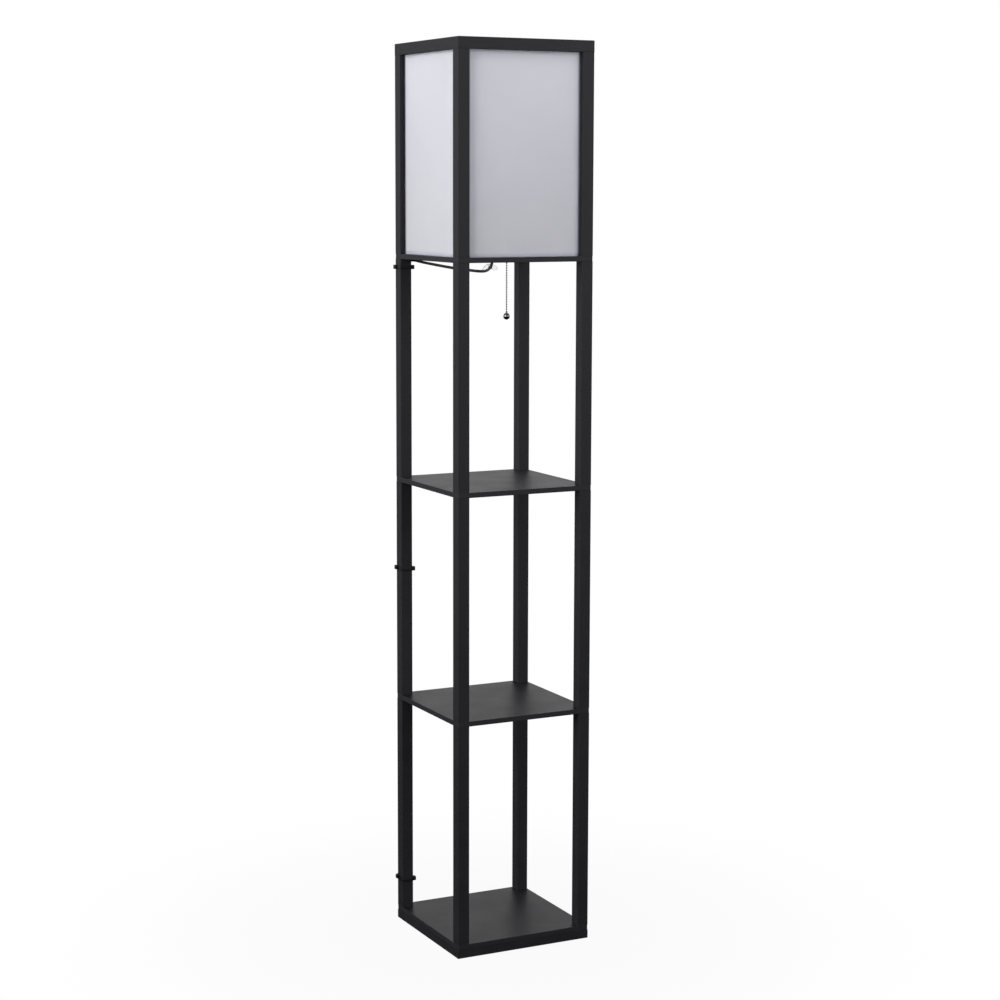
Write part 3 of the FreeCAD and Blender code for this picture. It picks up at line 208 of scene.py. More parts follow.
def rounded_block(place, low, high, radius, steps=4):
    """A box with rounded edges: a ball's points, each moved out towards its own octant's corner.

    p = middle + radius * b + sign(b) * (half size - radius), for the points b of a unit ball. The
    two corners and the radius are in millimetres, counted from a place in metres.
    """
    low, high, radius = place + np.array(low) * MM, place + np.array(high) * MM, radius * MM
    quarter = np.linspace(0.0, math.pi / 2, steps)
    turn = np.concatenate([quarter + k * math.pi / 2 for k in range(4)])
    side_x = np.repeat([1, -1, -1, 1], steps)
    side_y = np.repeat([1, 1, -1, -1], steps)
    tilt = np.concatenate([quarter - math.pi / 2, quarter])
    side_z = np.repeat([-1, 1], steps)
    ball = np.stack([
        np.cos(tilt)[:, None] * np.cos(turn), np.cos(tilt)[:, None] * np.sin(turn),
        np.repeat(np.sin(tilt)[:, None], turn.size, 1)], -1)
    out = np.stack([
        np.repeat(side_x[None], tilt.size, 0), np.repeat(side_y[None], tilt.size, 0),
        np.repeat(side_z[:, None], turn.size, 1)], -1)
    return (low + high) / 2 + radius * ball + out * ((high - low) / 2 - radius)


def corner_turns(corners):
    """A closed outline's corners, the directions of the sides before and after, and half the turn."""
    corners = np.asarray(corners, float)
    into = unit(corners - np.roll(corners, 1, 0))
    away = np.roll(into, -1, 0)
    return corners, into, away, np.arccos(np.clip((into * away).sum(1), -1, 1)) / 2


def push_out(corners, distance):
    """A convex outline with every side moved outwards by a distance."""
    corners, into, away, half = corner_turns(corners)
    return corners + unit(into - away) * (distance / np.cos(half))[:, None]


def round_corners(corners, radius, steps=6):
    """A closed outline with its corners rounded: at each, an arc of the radius between the tangents."""
    corners, into, away, half = corner_turns(corners)
    inward, along = unit(away - into), unit(into + away)
    middle = corners + inward * (radius / np.cos(half))[:, None]
    swing = np.linspace(-1, 1, steps)[None, :, None] * half[:, None, None]
    arcs = middle[:, None] + radius * (np.sin(swing) * along[:, None] - np.cos(swing) * inward[:, None])
    return arcs.reshape(-1, 2)


def strap_band(outline, width, thick, place):
    """A closed strap: a rounded section of thick x width carried round a flat outline.

    At outline point c with outward normal n the section's point (s, t) lies at c + s n, t.
    place turns the two outline values and t into X, Y, Z.
    """
    along = unit(np.roll(outline, -1, 0) - np.roll(outline, 1, 0))
    normal = np.stack([along[:, 1], -along[:, 0]], 1)
    if ((outline - outline.mean(0)) * normal).sum() < 0:
        normal = -normal
    a = round_angles(20)
    s = thick / 2 * np.sign(np.cos(a)) * np.abs(np.cos(a)) ** 0.45
    t = width / 2 * np.sign(np.sin(a)) * np.abs(np.sin(a)) ** 0.35
    flat = outline[:, None] + normal[:, None] * s[None, :, None]
    return place(flat[..., 0], flat[..., 1], np.repeat(t[None], len(outline), 0))


# ---------------------------------------------------------------- materials
def add(tree, kind, inputs=None, stops=None, **settings):
    """Adds a node with its settings, its input values or links, and the stops of a colour ramp."""
    node = tree.nodes.new(kind)
    for key, value in settings.items():
        setattr(node, key, value)
    for key, value in (inputs or {}).items():
        if isinstance(value, bpy.types.NodeSocket):
            tree.links.new(value, node.inputs[key])
        else:
            node.inputs[key].default_value = value
    for index, (at, colour) in enumerate(stops or ()):
        slots = node.color_ramp.elements
        stop = slots[index] if index < len(slots) else slots.new(at)
        stop.position = at
        stop.color = (*colour, 1.0)
    return node


def fresh_tree(owner, output):
    """The emptied node tree of a material or a world, and its new output node."""
    owner.use_nodes = True
    owner.node_tree.nodes.clear()
    return owner.node_tree, add(owner.node_tree, output)


def start_material(name, **inputs):
    """A new material with a Principled shader whose plain values are set on its own sockets."""
    material = bpy.data.materials.new(name)
    tree, out = fresh_tree(material, "ShaderNodeOutputMaterial")
    shader = add(tree, "ShaderNodeBsdfPrincipled", {k.replace("_", " "): v for k, v in inputs.items()})
    tree.links.new(shader.outputs["BSDF"], out.inputs["Surface"])
    coords = add(tree, "ShaderNodeTexCoord").outputs["Object"]
    return material, tree, shader, coords


def fine_finish(name, dark, light, rough, grain_mm, height_mm, stretch=(1, 1, 1), cloud_mm=40, **inputs):
    """A finish whose colour drifts in soft clouds and whose surface has a fine grain.

    Clouds of cloud_mm mix the two colours, hex or linear, and the two roughness values. A grain
    of grain_mm, drawn out by stretch, raises the surface by height_mm.
    """
    material, tree, shader, coords = start_material(name, **inputs)
    dark, light = (linear(c) if isinstance(c, str) else c for c in (dark, light))
    cloud = add(tree, "ShaderNodeTexNoise", {"Vector": coords, "Scale": 1000 / cloud_mm, "Detail": 5.0})
    tone = add(tree, "ShaderNodeValToRGB", {"Fac": cloud.outputs["Fac"]}, [(0.32, dark), (0.68, light)])
    tree.links.new(tone.outputs["Color"], shader.inputs["Base Color"])
    long = add(tree, "ShaderNodeMapping", {"Vector": coords, "Scale": stretch})
    grain = add(tree, "ShaderNodeTexNoise", {
        "Vector": long.outputs["Vector"], "Scale": 1000 / grain_mm, "Detail": 3.0, "Roughness": 0.55})
    both = add(tree, "ShaderNodeMath", {0: cloud.outputs["Fac"], 1: grain.outputs["Fac"]})
    gloss = add(tree, "ShaderNodeMapRange", {
        "Value": both.outputs[0], "From Min": 0.6, "From Max": 1.4, "To Min": rough[0], "To Max": rough[1]})
    tree.links.new(gloss.outputs[0], shader.inputs["Roughness"])
    relief = add(tree, "ShaderNodeBump", {
        "Height": grain.outputs["Fac"], "Strength": 1.0, "Distance": height_mm * MM})
    tree.links.new(relief.outputs["Normal"], shader.inputs["Normal"])
    return material


def shade_of(colour, factor):
    """A linear colour made lighter or darker."""
    return tuple(min(1.0, c * factor) for c in colour)


def dress(material, *nodes):
    """Gives CAD nodes a material in place of the plain one that they came with."""
    for node in nodes:
        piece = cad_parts[node]
        for place in piece.material_slots:
            place.material = material


def finish_piece(piece, material, body):
    """Gives a new piece its material and the body that it rides on."""
    piece.data.materials.append(material)
    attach(piece, body)


# ---------------------------------------------------------------- wooden frame and boards
class LAMP_OT_frame_finish(bpy.types.Operator):
    """Lacquers the posts and rails, with the wood's grain along each piece."""

    bl_idname = "lamp.frame_finish"
    bl_label = "Lacquer the Posts and Rails"

    def execute(self, context):
        colour = context.scene.lamp_colours.lacquer
        # Satin black lacquer sprayed on softwood: an even soft black with a low gloss, in which
        # the wood's pores still show as faint lines along each piece.
        runs = {"upright": (1.0, 1.0, 0.03), "across": (0.03, 1.0, 1.0), "deep": (1.0, 0.03, 1.0)}
        coat = {
            way: fine_finish(
                "satin_lacquer_" + way, shade_of(colour, 0.75), shade_of(colour, 1.35), (0.60, 0.72),
                0.9, 0.035, stretch=stretch, IOR=1.5, Specular_IOR_Level=0.42,
                Specular_Tint=(0.92, 0.92, 1.0, 1.0))
            for way, stretch in runs.items()}
        tiers = ("lower", "middle", "upper", "shade")
        dress(coat["upright"], *[tier + "_post_" + corner for tier in tiers for corner in CORNERS])
        dress(coat["across"], "base_rails_long", "top_rail_front", "top_rail_back")
        dress(coat["deep"], "base_rails_short", "top_rail_left", "top_rail_right", "crossbar")
        return {"FINISHED"}


class LAMP_OT_board_finish(bpy.types.Operator):
    """Faces the shelves, the base board and the shade's bottom frame."""

    bl_idname = "lamp.board_finish"
    bl_label = "Face the Boards"

    def execute(self, context):
        colour = context.scene.lamp_colours.board
        # Fibreboard with a satin black foil: very even, with a fine pearl texture that breaks up
        # reflections, and faint wide clouds where the foil lies on the board. Its edges are sprayed
        # with the posts' lacquer, so they are duller and a little paler than the faces.
        board = fine_finish(
            "foil_faced_board", shade_of(colour, 0.8), shade_of(colour, 1.25), (0.39, 0.51), 0.7, 0.02,
            cloud_mm=55, IOR=1.5, Specular_IOR_Level=0.42, Specular_Tint=(0.94, 0.94, 1.0, 1.0))
        tree = board.node_tree
        shader = tree.nodes["Principled BSDF"]
        facing = add(tree, "ShaderNodeNewGeometry").outputs["Normal"]
        face = add(tree, "ShaderNodeSeparateXYZ", {"Vector": facing})
        level = add(tree, "ShaderNodeMath", {0: face.outputs["Z"]}, operation="ABSOLUTE").outputs[0]
        tone, gloss = (shader.inputs[key].links[0].from_socket for key in ("Base Color", "Roughness"))
        edge_colour = (*shade_of(colour, 1.6), 1.0)
        edge = add(tree, "ShaderNodeMix", {0: level, 6: edge_colour, 7: tone}, data_type="RGBA")
        dull = add(tree, "ShaderNodeMix", {0: level, 2: 0.68, 3: gloss}, data_type="FLOAT")
        tree.links.new(edge.outputs[2], shader.inputs["Base Color"])
        tree.links.new(dull.outputs[0], shader.inputs["Roughness"])
        dress(board, "base_board", "lower_shelf", "upper_shelf", "shade_frame")
        return {"FINISHED"}


def paint_shade_by_posts(sheet):
    """Paints shade into the sheet's colour beside the posts and just over the frame, as the shadow that
    they cast on it.

    The distance from a post is the post's inner face less the smaller of |x| and |y|.
    """
    tree = sheet.node_tree
    shader = tree.nodes["Principled BSDF"]
    coords = add(tree, "ShaderNodeTexCoord").outputs["Object"]
    place = add(tree, "ShaderNodeSeparateXYZ", {"Vector": coords})
    x, y = (
        add(tree, "ShaderNodeMath", {0: place.outputs[key]}, operation="ABSOLUTE").outputs[0]
        for key in "XY")
    across = add(tree, "ShaderNodeMath", {0: x, 1: y}, operation="MINIMUM").outputs[0]
    inside, foot, reach = -POST_HIGH.x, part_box("shade_frame")[1].z, 8 * MM
    # Painted shade: the sheet's colour darkens within 8 mm of a post and just over the frame
    post_shade = add(tree, "ShaderNodeMapRange", {
        "Value": across, "From Min": inside - reach, "From Max": inside})
    greys = ((0.0, 1.0), (0.35, 0.85), (0.6, 0.35), (0.85, 0.08))
    beside = add(
        tree, "ShaderNodeValToRGB", {"Fac": post_shade.outputs[0]}, [(at, (grey,) * 3) for at, grey in greys])
    above = add(tree, "ShaderNodeMapRange", {
        "Value": place.outputs["Z"], "From Min": foot, "From Max": foot + reach, "To Min": 0.55})
    clear = add(
        tree, "ShaderNodeMath", {0: beside.outputs["Color"], 1: above.outputs[0]}, operation="MULTIPLY")
    tone = shader.inputs["Base Color"].links[0].from_socket
    shaded_tone = add(
        tree, "ShaderNodeMix", {0: 1.0, 6: tone, 7: clear.outputs[0]}, data_type="RGBA",
        blend_type="MULTIPLY")
    tree.links.new(shaded_tone.outputs[2], shader.inputs["Base Color"])


class LAMP_OT_shade_panels(bpy.types.Operator):
    """Finishes the four shade panels as a smooth pale sheet that lets light through."""

    bl_idname = "lamp.shade_panels"
    bl_label = "Finish the Shade Panels"

    def execute(self, context):
        colour = context.scene.lamp_colours.shade
        # Laminated white plastic sheet, calendered: smooth, pale and faintly cloudy with short
        # fibres inside, so light spreads in it and its edges glow softly.
        sheet = fine_finish(
            "calendered_shade_sheet", shade_of(colour, 0.985), shade_of(colour, 1.015), (0.42, 0.55),
            1.6, 0.006, cloud_mm=90, IOR=1.46, Specular_IOR_Level=0.35, Subsurface_Weight=1.0,
            Subsurface_Radius=(0.008, 0.008, 0.008), Subsurface_Scale=1.0)
        # Painted shade on the sheet beside the posts and over the frame
        paint_shade_by_posts(sheet)
        dress(sheet, *["panel_" + side for side in SIDES])
        return {"FINISHED"}


# ---------------------------------------------------------------- fasteners and pads
def socket_bolt(low, top, steps=72):
    """A bolt on the Z axis, turned from its tip down to its head, then into a hexagon socket.

    The socket's radius is the flat's distance over the cosine of the angle from the flat's middle.
    """
    shank = rings(top, (2.5, 0.0), (3.0, -0.5)) + rings(low, (3.0, 4.0))
    head = rings(low, (5.0, 4.0), (5.5, 3.6), (5.5, 0.6), (5.3, 0.25), (4.9, 0.0), (2.75, 0.0))
    a = round_angles(steps)
    hexagon = 2.0 * MM / np.cos((a + math.pi / 6) % (math.pi / 3) - math.pi / 6)
    outside = np.array(shank + head)
    radii = np.concatenate([np.repeat(outside[:, :1], steps, 1), hexagon[None], hexagon[None]])
    heights = np.append(outside[:, 1], (low + 0.4 * MM, low + 2.4 * MM))
    return np.stack([radii * np.cos(a), radii * np.sin(a), np.repeat(heights[:, None], steps, 1)], -1)


class LAMP_OT_fasteners(bpy.types.Operator):
    """Builds the socket bolts under the base and finishes inserts, studs, dowels and pads."""

    bl_idname = "lamp.fasteners"
    bl_label = "Build the Fasteners"

    def execute(self, context):
        bolt = socket_bolt(BOLT_LOW.z, BOLT_HIGH.z)
        reach = BOLT_HIGH.x - 5.5 * MM
        bolts = surface(
            "socket_bolts",
            [bolt + np.array([x, y, 0.0]) for x in (-reach, reach) for y in (-reach, reach)], sharp=35)
        # Zinc plated steel: pale grey with a bluish cast, drawn and rolled, so it is satin with
        # fine rings and slightly cloudy.
        zinc = fine_finish(
            "zinc_plated_steel", "#a9abad", "#c6c7c6", (0.26, 0.44), 0.5, 0.01,
            stretch=(0.2, 0.2, 1.6), cloud_mm=6, Metallic=1.0)
        finish_piece(bolts, zinc, "lamp_body")
        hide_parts("base_bolts")
        dress(zinc, "joining_studs", "threaded_tube", "tube_nuts", "switch_pins")
        # Brass, turned from bar: warm yellow with fine turning rings.
        brass = fine_finish(
            "turned_brass", "#b08d4e", "#cfae6c", (0.24, 0.38), 0.3, 0.008,
            stretch=(0.3, 0.3, 2.0), cloud_mm=8, Metallic=1.0)
        dress(brass, "post_inserts")
        # Beech dowel, fluted and dry: pale pinkish brown with short darker flecks along it.
        beech = fine_finish(
            "dry_beech", "#b08a62", "#d0ae86", (0.62, 0.78), 0.5, 0.05, stretch=(1, 1, 0.08), cloud_mm=5)
        dress(beech, "top_dowels")
        # Moulded rubber pad: matt dark grey with a dusty, finely pitted face.
        rubber = fine_finish("moulded_rubber", "#232323", "#343332", (0.78, 0.92), 0.5, 0.03, cloud_mm=7)
        dress(rubber, "base_pads")
        return {"FINISHED"}


# ---------------------------------------------------------------- lamp holder and switch
def coil(low, high, wire, turns):
    """A round wire along the helix c(t) = (R cos t, R sin t, rise t) between two box corners.

    With o the helix's outward direction and s square to both o and the wire, the surface is
    c(t) + wire (o cos b + s sin b).
    """
    radius = (high.x - low.x) / 2 - wire
    t = np.linspace(0, math.tau * turns, int(24 * turns) + 1)[:, None, None]
    b = round_angles(10)[None, :, None]
    rise = (high.z - low.z - 2 * wire) / (math.tau * turns)
    flat = np.zeros_like(t)
    out = np.concatenate([np.cos(t), np.sin(t), flat], -1)
    ahead = np.concatenate([-radius * np.sin(t), radius * np.cos(t), flat + rise], -1)
    beside = np.cross(unit(ahead), out)
    path = radius * out + np.concatenate([flat, flat, rise * t], -1)
    start = np.array([(low.x + high.x) / 2, (low.y + high.y) / 2, low.z + wire])
    return start + path + wire * (np.cos(b) * out + np.sin(b) * beside)


class LAMP_OT_holder(bpy.types.Operator):
    """Finishes the lamp holder, its switch and the inner leads."""

    bl_idname = "lamp.holder"
    bl_label = "Finish the Lamp Holder"

    def execute(self, context):
        # Moulded black thermoplastic: a deep black with a low even gloss and a fine spark texture.
        moulding = fine_finish(
            "moulded_thermoplastic", "#151515", "#1e1e1e", (0.34, 0.50), 0.5, 0.012, cloud_mm=14, IOR=1.5)
        dress(moulding, "holder_cap", "holder_shell", "lever_cover", "cord_bushing")
        # Phenolic moulding with wood filler: brown black, with paler specks of filler.
        phenolic = fine_finish(
            "filled_phenolic", "#2c1c14", "#4a3224", (0.36, 0.52), 0.35, 0.01, cloud_mm=2.5)
        dress(phenolic, "switch_block", "switch_wheel")
        # Nickel plated brass sheet, deep drawn: bright with a warm cast and drawing lines upwards.
        nickel = fine_finish(
            "nickel_plated_sheet", "#bdb8ae", "#d6d2ca", (0.16, 0.30), 0.4, 0.004,
            stretch=(1, 1, 0.1), cloud_mm=7, Metallic=1.0)
        dress(nickel, "threaded_sleeve")
        # Spring brass strip, stamped: yellow with a smooth rolled face.
        strip = fine_finish(
            "stamped_spring_brass", "#b8944f", "#d4b672", (0.20, 0.34), 0.3, 0.004,
            stretch=(0.1, 1, 1), cloud_mm=5, Metallic=1.0)
        dress(strip, "centre_contact", "pull_lever")
        # Insulated inner lead, extruded: brown plastic with a soft shine.
        lead = fine_finish(
            "extruded_lead_sheath", "#4a2f1d", "#5c3d28", (0.34, 0.46), 0.4, 0.004, cloud_mm=5)
        dress(lead, "inner_leads")
        # Hard drawn spring wire, zinc plated: pale grey, brighter along the draw.
        wire = fine_finish(
            "drawn_spring_wire", "#a3a5a8", "#c2c4c5", (0.22, 0.38), 0.4, 0.004, cloud_mm=3, Metallic=1.0)
        wire_radius, turns = 0.35 * MM, 6.5
        spring = surface("return_spring", [coil(SPRING_LOW, SPRING_HIGH, wire_radius, turns)], sharp=60)
        finish_piece(spring, wire, "lamp_body")
        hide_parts("lever_spring")
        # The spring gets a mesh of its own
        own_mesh(spring)
        return {"FINISHED"}


# ---------------------------------------------------------------- pull chain
def bead_run(heights, bead, link, top, bottom):
    """Profile of a bead chain: from the top down, each bead an arc with a dimple at its holes."""
    hole = 0.62 * MM
    tilt = math.degrees(math.acos(hole / bead))
    rows = [(link, top)]
    for z in heights:
        rows.append((link, z + bead * 0.86))
        rows += arc((0.0, z), bead, tilt, -tilt, 11).tolist()
        rows.append((link, z - bead * 0.86))
    return rows + [(link, bottom)]


class LAMP_OT_pull_chain(bpy.types.Operator):
    """Builds the bead chain, its stem inside the switch and the ball on its end."""

    bl_idname = "lamp.pull_chain"
    bl_label = "Build the Pull Chain"

    def execute(self, context):
        sizes = context.scene.lamp_sizes
        bead, pitch, ball = sizes.bead_radius, sizes.bead_pitch, sizes.ball_radius
        centre, link, cup = (BALL.x, 0, 0), 0.25 * MM, BALL.z + ball
        hanging = cup + 2.2 * MM + pitch * np.arange(25, -1, -1)
        stem = [STEM_HIGH.z - 1.65 * MM] + [hanging[0] + pitch + pitch * k for k in (4, 3, 2, 1, 0)]
        stem_profile = bead_run(stem, bead, link, STEM_HIGH.z, STEM_LOW.z)
        stem_piece = surface("chain_stem_beads", [turned(stem_profile, 20, centre)], sharp=50)
        chain_profile = bead_run(hanging, bead, link, STEM_LOW.z - 0.15 * MM, cup - 2.6 * MM)
        chain_piece = surface("pull_chain_beads", [turned(chain_profile, 20, centre)], sharp=50)
        # Ball with a small cup that grips the last bead: sphere below, then the cup's neck and lip
        ball_profile = arc((0.0, BALL.z), ball, -89.9, 72, 34).tolist() + rings(
            cup, (1.75, -0.15), (1.65, 0.25), (1.85, 0.95), (1.95, 1.35), (1.8, 1.5), (1.62, 1.35),
            (1.25, 0.6), (0.5, 0.3), (0.5, -2.8))
        ball_piece = surface("chain_end_ball", [turned(ball_profile, 48, centre)], sharp=60)
        # Black nickel plated steel, tumbled: dark grey beads, each faintly dulled by the tumbling.
        nickel = fine_finish(
            "tumbled_black_nickel", "#1d1c1c", "#302f2e", (0.26, 0.38), 0.5, 0.004,
            cloud_mm=3, Metallic=1.0, Specular_Tint=(0.1, 0.1, 0.1, 1.0))
        # Polished black nickel ball: a clear dark reflection with the slightest haze.
        polished = fine_finish(
            "polished_black_nickel", "#7a7876", "#8f8d8a", (0.05, 0.11), 1.5, 0.002,
            cloud_mm=5, Metallic=1.0)
        finish_piece(stem_piece, nickel, "pull_stem")
        finish_piece(chain_piece, nickel, "chain")
        finish_piece(ball_piece, polished, "chain")
        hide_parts("chain_stem")
        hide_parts("hanging_chain")
        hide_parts("chain_ball")
        return {"FINISHED"}


# ---------------------------------------------------------------- lamp bulb
def glass_profile(foot, top):
    """The bulb's glass: a straight neck, a flank and a round crown.

    The flank is a cubic curve that leaves the neck upwards and meets the crown along its tangent.
    """
    crown, neck, shoulder = 30.0 * MM, 13.4 * MM, -28.0
    round_part = arc((0.0, top - crown), crown, shoulder, 89.9, 34)
    start, end = np.array([neck, foot + 6.0 * MM]), round_part[0]
    reach = np.linalg.norm(end - start)
    tilt = math.radians(shoulder)
    out, into = np.array([0.0, reach]), np.array([-math.sin(tilt), math.cos(tilt)]) * reach
    t = np.linspace(0, 1, 26)[:, None]
    flank = ((2 * t ** 3 - 3 * t ** 2 + 1) * start + (t ** 3 - 2 * t ** 2 + t) * out
             + (3 * t ** 2 - 2 * t ** 3) * end + (t ** 3 - t ** 2) * into)
    rim = [(neck - 0.6 * MM, foot), (neck, foot + 0.5 * MM)]
    return rim + flank.tolist() + round_part.tolist()[1:]


def screw_cap(base, top, pitch, steps):
    """The bulb's cap: a rolled thread between a narrowing end and a collar.

    In the thread r = R - depth * (1 - fade * (1 - wave)), with wave = (1 + cos(2 pi z / pitch - a))
    / 2 and a fade to nothing at both ends.
    """
    cap_radius, depth, run_out = 13.1 * MM, 0.75 * MM, 1.8 * MM
    a = round_angles(steps)
    z = np.linspace(base + 5.6 * MM, top - 2.4 * MM, 60)
    fade = np.clip(np.minimum(z - z[0], z[-1] - z) / run_out, 0, 1)
    wave = (1 + np.cos(math.tau * (z[:, None] / pitch) - a)) / 2
    radius = cap_radius - depth * (1 - fade[:, None] * (1 - wave))
    thread = np.stack([radius * np.cos(a), radius * np.sin(a), np.repeat(z[:, None], steps, 1)], -1)
    under = turned(rings(base, (9.4, 3.4), (10.2, 3.6), (11.6, 4.9)), steps)
    collar = turned(rings(top, (12.4, -2.2), (13.0, -1.9), (13.1, -0.2), (12.9, 0.0)), steps)
    return np.concatenate([under, thread, collar])


class LAMP_OT_bulb(bpy.types.Operator):
    """Builds the frosted bulb with its threaded cap, insulator and contact."""

    bl_idname = "lamp.bulb"
    bl_label = "Build the Bulb"

    def execute(self, context):
        steps, pitch = context.scene.lamp_sizes.round_steps, context.scene.lamp_sizes.thread_pitch
        profile = glass_profile(BULB_LOW.z, BULB_HIGH.z)
        glass = surface("bulb_envelope", [turned(profile, 64)], sharp=60)
        base = CAP_LOW.z
        cap = surface("bulb_screw_cap", [screw_cap(base, CAP_HIGH.z, pitch, steps)], sharp=50)
        cone = turned(rings(base, (4.6, 1.1), (5.2, 1.0), (9.3, 3.2), (9.6, 3.7)), steps)
        insulator = surface("bulb_cap_insulator", [cone], sharp=50)
        button = turned(rings(base, (0.4, 0.0), (2.6, 0.1), (4.2, 0.55), (4.7, 1.2)), steps)
        contact = surface("bulb_contact", [button], sharp=60)
        # Glass frosted inside: milky white, smooth outside with a soft shine.
        frosted = fine_finish(
            "frosted_glass", "#eceae4", "#f6f5f1", (0.22, 0.30), 2.5, 0.002, cloud_mm=30,
            IOR=1.5, Subsurface_Weight=0.5, Subsurface_Radius=(0.006, 0.006, 0.006), Coat_Weight=0.3)
        # Aluminium, rolled thread: pale grey, satin, with rolling lines round it.
        rolled = fine_finish(
            "rolled_aluminium", "#b9babb", "#d2d3d4", (0.24, 0.38), 0.4, 0.006,
            stretch=(0.3, 0.3, 2.0), cloud_mm=6, Metallic=1.0)
        # Vitrite: glossy purple black glass.
        vitrite = fine_finish("vitrite", "#141017", "#201a24", (0.10, 0.18), 1.0, 0.006, cloud_mm=3)
        # Soldered contact: soft bright grey, slightly lumpy.
        solder = fine_finish(
            "soldered_contact", "#a3a4a6", "#c3c4c6", (0.28, 0.44), 1.2, 0.06, cloud_mm=2, Metallic=1.0)
        finish_piece(glass, frosted, "bulb")
        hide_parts("bulb_glass")
        finish_piece(cap, rolled, "bulb")
        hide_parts("bulb_cap")
        finish_piece(insulator, vitrite, "bulb")
        finish_piece(contact, solder, "bulb")
        return {"FINISHED"}


# ---------------------------------------------------------------- mains cord
# From inside the holder, out and under the frame, round the post, down behind it to the floor,
# in millimetres. Two points near the ends of the long run keep the bends there small.
CORD_ROUTE = [
    (0.0, 0.0, 1237.6), (0.0, 0.0, 1214.0), (-6.4, 8.3, 1202.3), (-16.0, 20.5, 1201.3),
    (-31.5, 41.0, 1203.6), (-50.5, 64.5, 1206.9), (-71.0, 91.5, 1211.8), (-87.5, 114.0, 1216.2),
    (-95.0, 125.6, 1219.3), (-105.0, 132.6, 1218.2), (-115.8, 133.2, 1212.4), (-122.6, 132.8, 1199.5),
    (-120.6, 132.8, 1172.0), (-120.5, 132.8, 1144.0), (-119.4, 132.8, 640.0), (-120.0, 132.8, 52.6),
    (-120.0, 132.8, 2.6), (-70.0, 132.8, 2.6),
]
# The spare cord's hank, in millimetres: its middle, half the length of its straight runs, the
# radius of its bends, the heights of its two layers and the rise of a run under the tie
HANK_MIDDLE = (-30.0, 147.8)
HANK_HALF_RUN = 40.0
HANK_BEND = 15.0
HANK_LOW, HANK_HIGH = 2.6, 8.1
HANK_LIFT = 1.33
HANK_WAIST = 5.7              # where the spline's points lie for a waist of 8 mm to its middle


def bend_points(middle, first_turn, z):
    """The four corners of half an octagon round a bend, 45 degrees apart, at one height."""
    corner = HANK_BEND / math.cos(math.radians(22.5))
    turns = [math.radians(first_turn + 45.0 * step) for step in range(4)]
    return [(middle + corner * math.cos(turn), corner * math.sin(turn), z) for turn in turns]


def hank_points():
    """The spare cord's points: runs drawn in at the tie, a bend at each end, then the way to the plug."""
    side, waist = HANK_BEND, HANK_WAIST
    near = HANK_HALF_RUN - HANK_BEND * math.tan(math.radians(22.5))
    points = [
        (0.0, -waist, HANK_LOW + HANK_LIFT), (near, -side, HANK_LOW),
        *bend_points(HANK_HALF_RUN, -67.5, HANK_LOW),
        (near, side, HANK_LOW), (0.0, waist, (HANK_LOW + HANK_HIGH) / 2), (-near, side, HANK_HIGH),
        *bend_points(-HANK_HALF_RUN, 112.5, HANK_HIGH),
        (-near, -side, HANK_HIGH), (0.0, -waist, HANK_HIGH + HANK_LIFT), (near, -side, HANK_HIGH),
        (54.0, -15.0, 8.0), (70.0, 0.0, 7.3), (85.0, 0.0, 7.0),
    ]
    return [(x + HANK_MIDDLE[0], y + HANK_MIDDLE[1], z) for x, y, z in points]


class LAMP_OT_cord(bpy.types.Operator):
    """Lays the mains cord as one smooth spline."""

    bl_idname = "lamp.cord"
    bl_label = "Lay the Mains Cord"

    def execute(self, context):
        colour = context.scene.lamp_colours.cord
        curve = bpy.data.curves.new("mains_cord", "CURVE")
        curve.dimensions = "3D"
        curve.resolution_u = 12
        curve.bevel_depth = context.scene.lamp_sizes.cord_diameter / 2
        curve.bevel_resolution = 5
        curve.use_fill_caps = True
        spline = curve.splines.new("NURBS")
        route = CORD_ROUTE + hank_points()
        spline.points.add(len(route) - 1)
        for point, place in zip(spline.points, route):
            point.co = (*(v * MM for v in place), 1.0)
        spline.order_u = 3
        spline.use_endpoint_u = True
        cord = bpy.data.objects.new("mains_cord", curve)
        context.scene.collection.objects.link(cord)
        # Extruded soft vinyl: deep black with a dull smooth sheath, very faintly rippled.
        vinyl = fine_finish(
            "extruded_vinyl", shade_of(colour, 0.85), shade_of(colour, 1.25), (0.40, 0.54), 1.2, 0.02,
            cloud_mm=12, IOR=1.5)
        finish_piece(cord, vinyl, "lamp_body")
        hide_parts("cord", "cord_hank")
        return {"FINISHED"}


# ---------------------------------------------------------------- cable ties
# Each tie's height on the post in metres, and its slope towards the back
TIES = ((1.2075, 0.02), (0.6615, 0.14), (0.079, 0.23))


def tie_head(corner, across, deep, slot, width, way):
    """A tie's ratchet head with a raised rim at its slot, and the cut end of the strap in it.

    Its two sides across, its two faces and the slot's near side are in millimetres from a corner
    of the post. way is the side that the slot opens to, -1 for the front and 1 for the back.
    """
    half = width / 2 / MM
    face = deep[0] if way < 0 else deep[1]
    rim = sorted((face - way * 1.5, face + way * 0.5))
    tail = sorted((face - way * 2.0, face + way * 2.6))
    return [
        rounded_block(corner, (across[0], deep[0], -3.75), (across[1], deep[1], 3.75), 0.8),
        rounded_block(
            corner, (across[0] + 0.9, rim[0], -2.9), (across[1] - 0.9, rim[1], 2.9), 0.45),
        rounded_block(corner, (slot, tail[0], -half), (slot + 1.1, tail[1], half), 0.3),
    ]


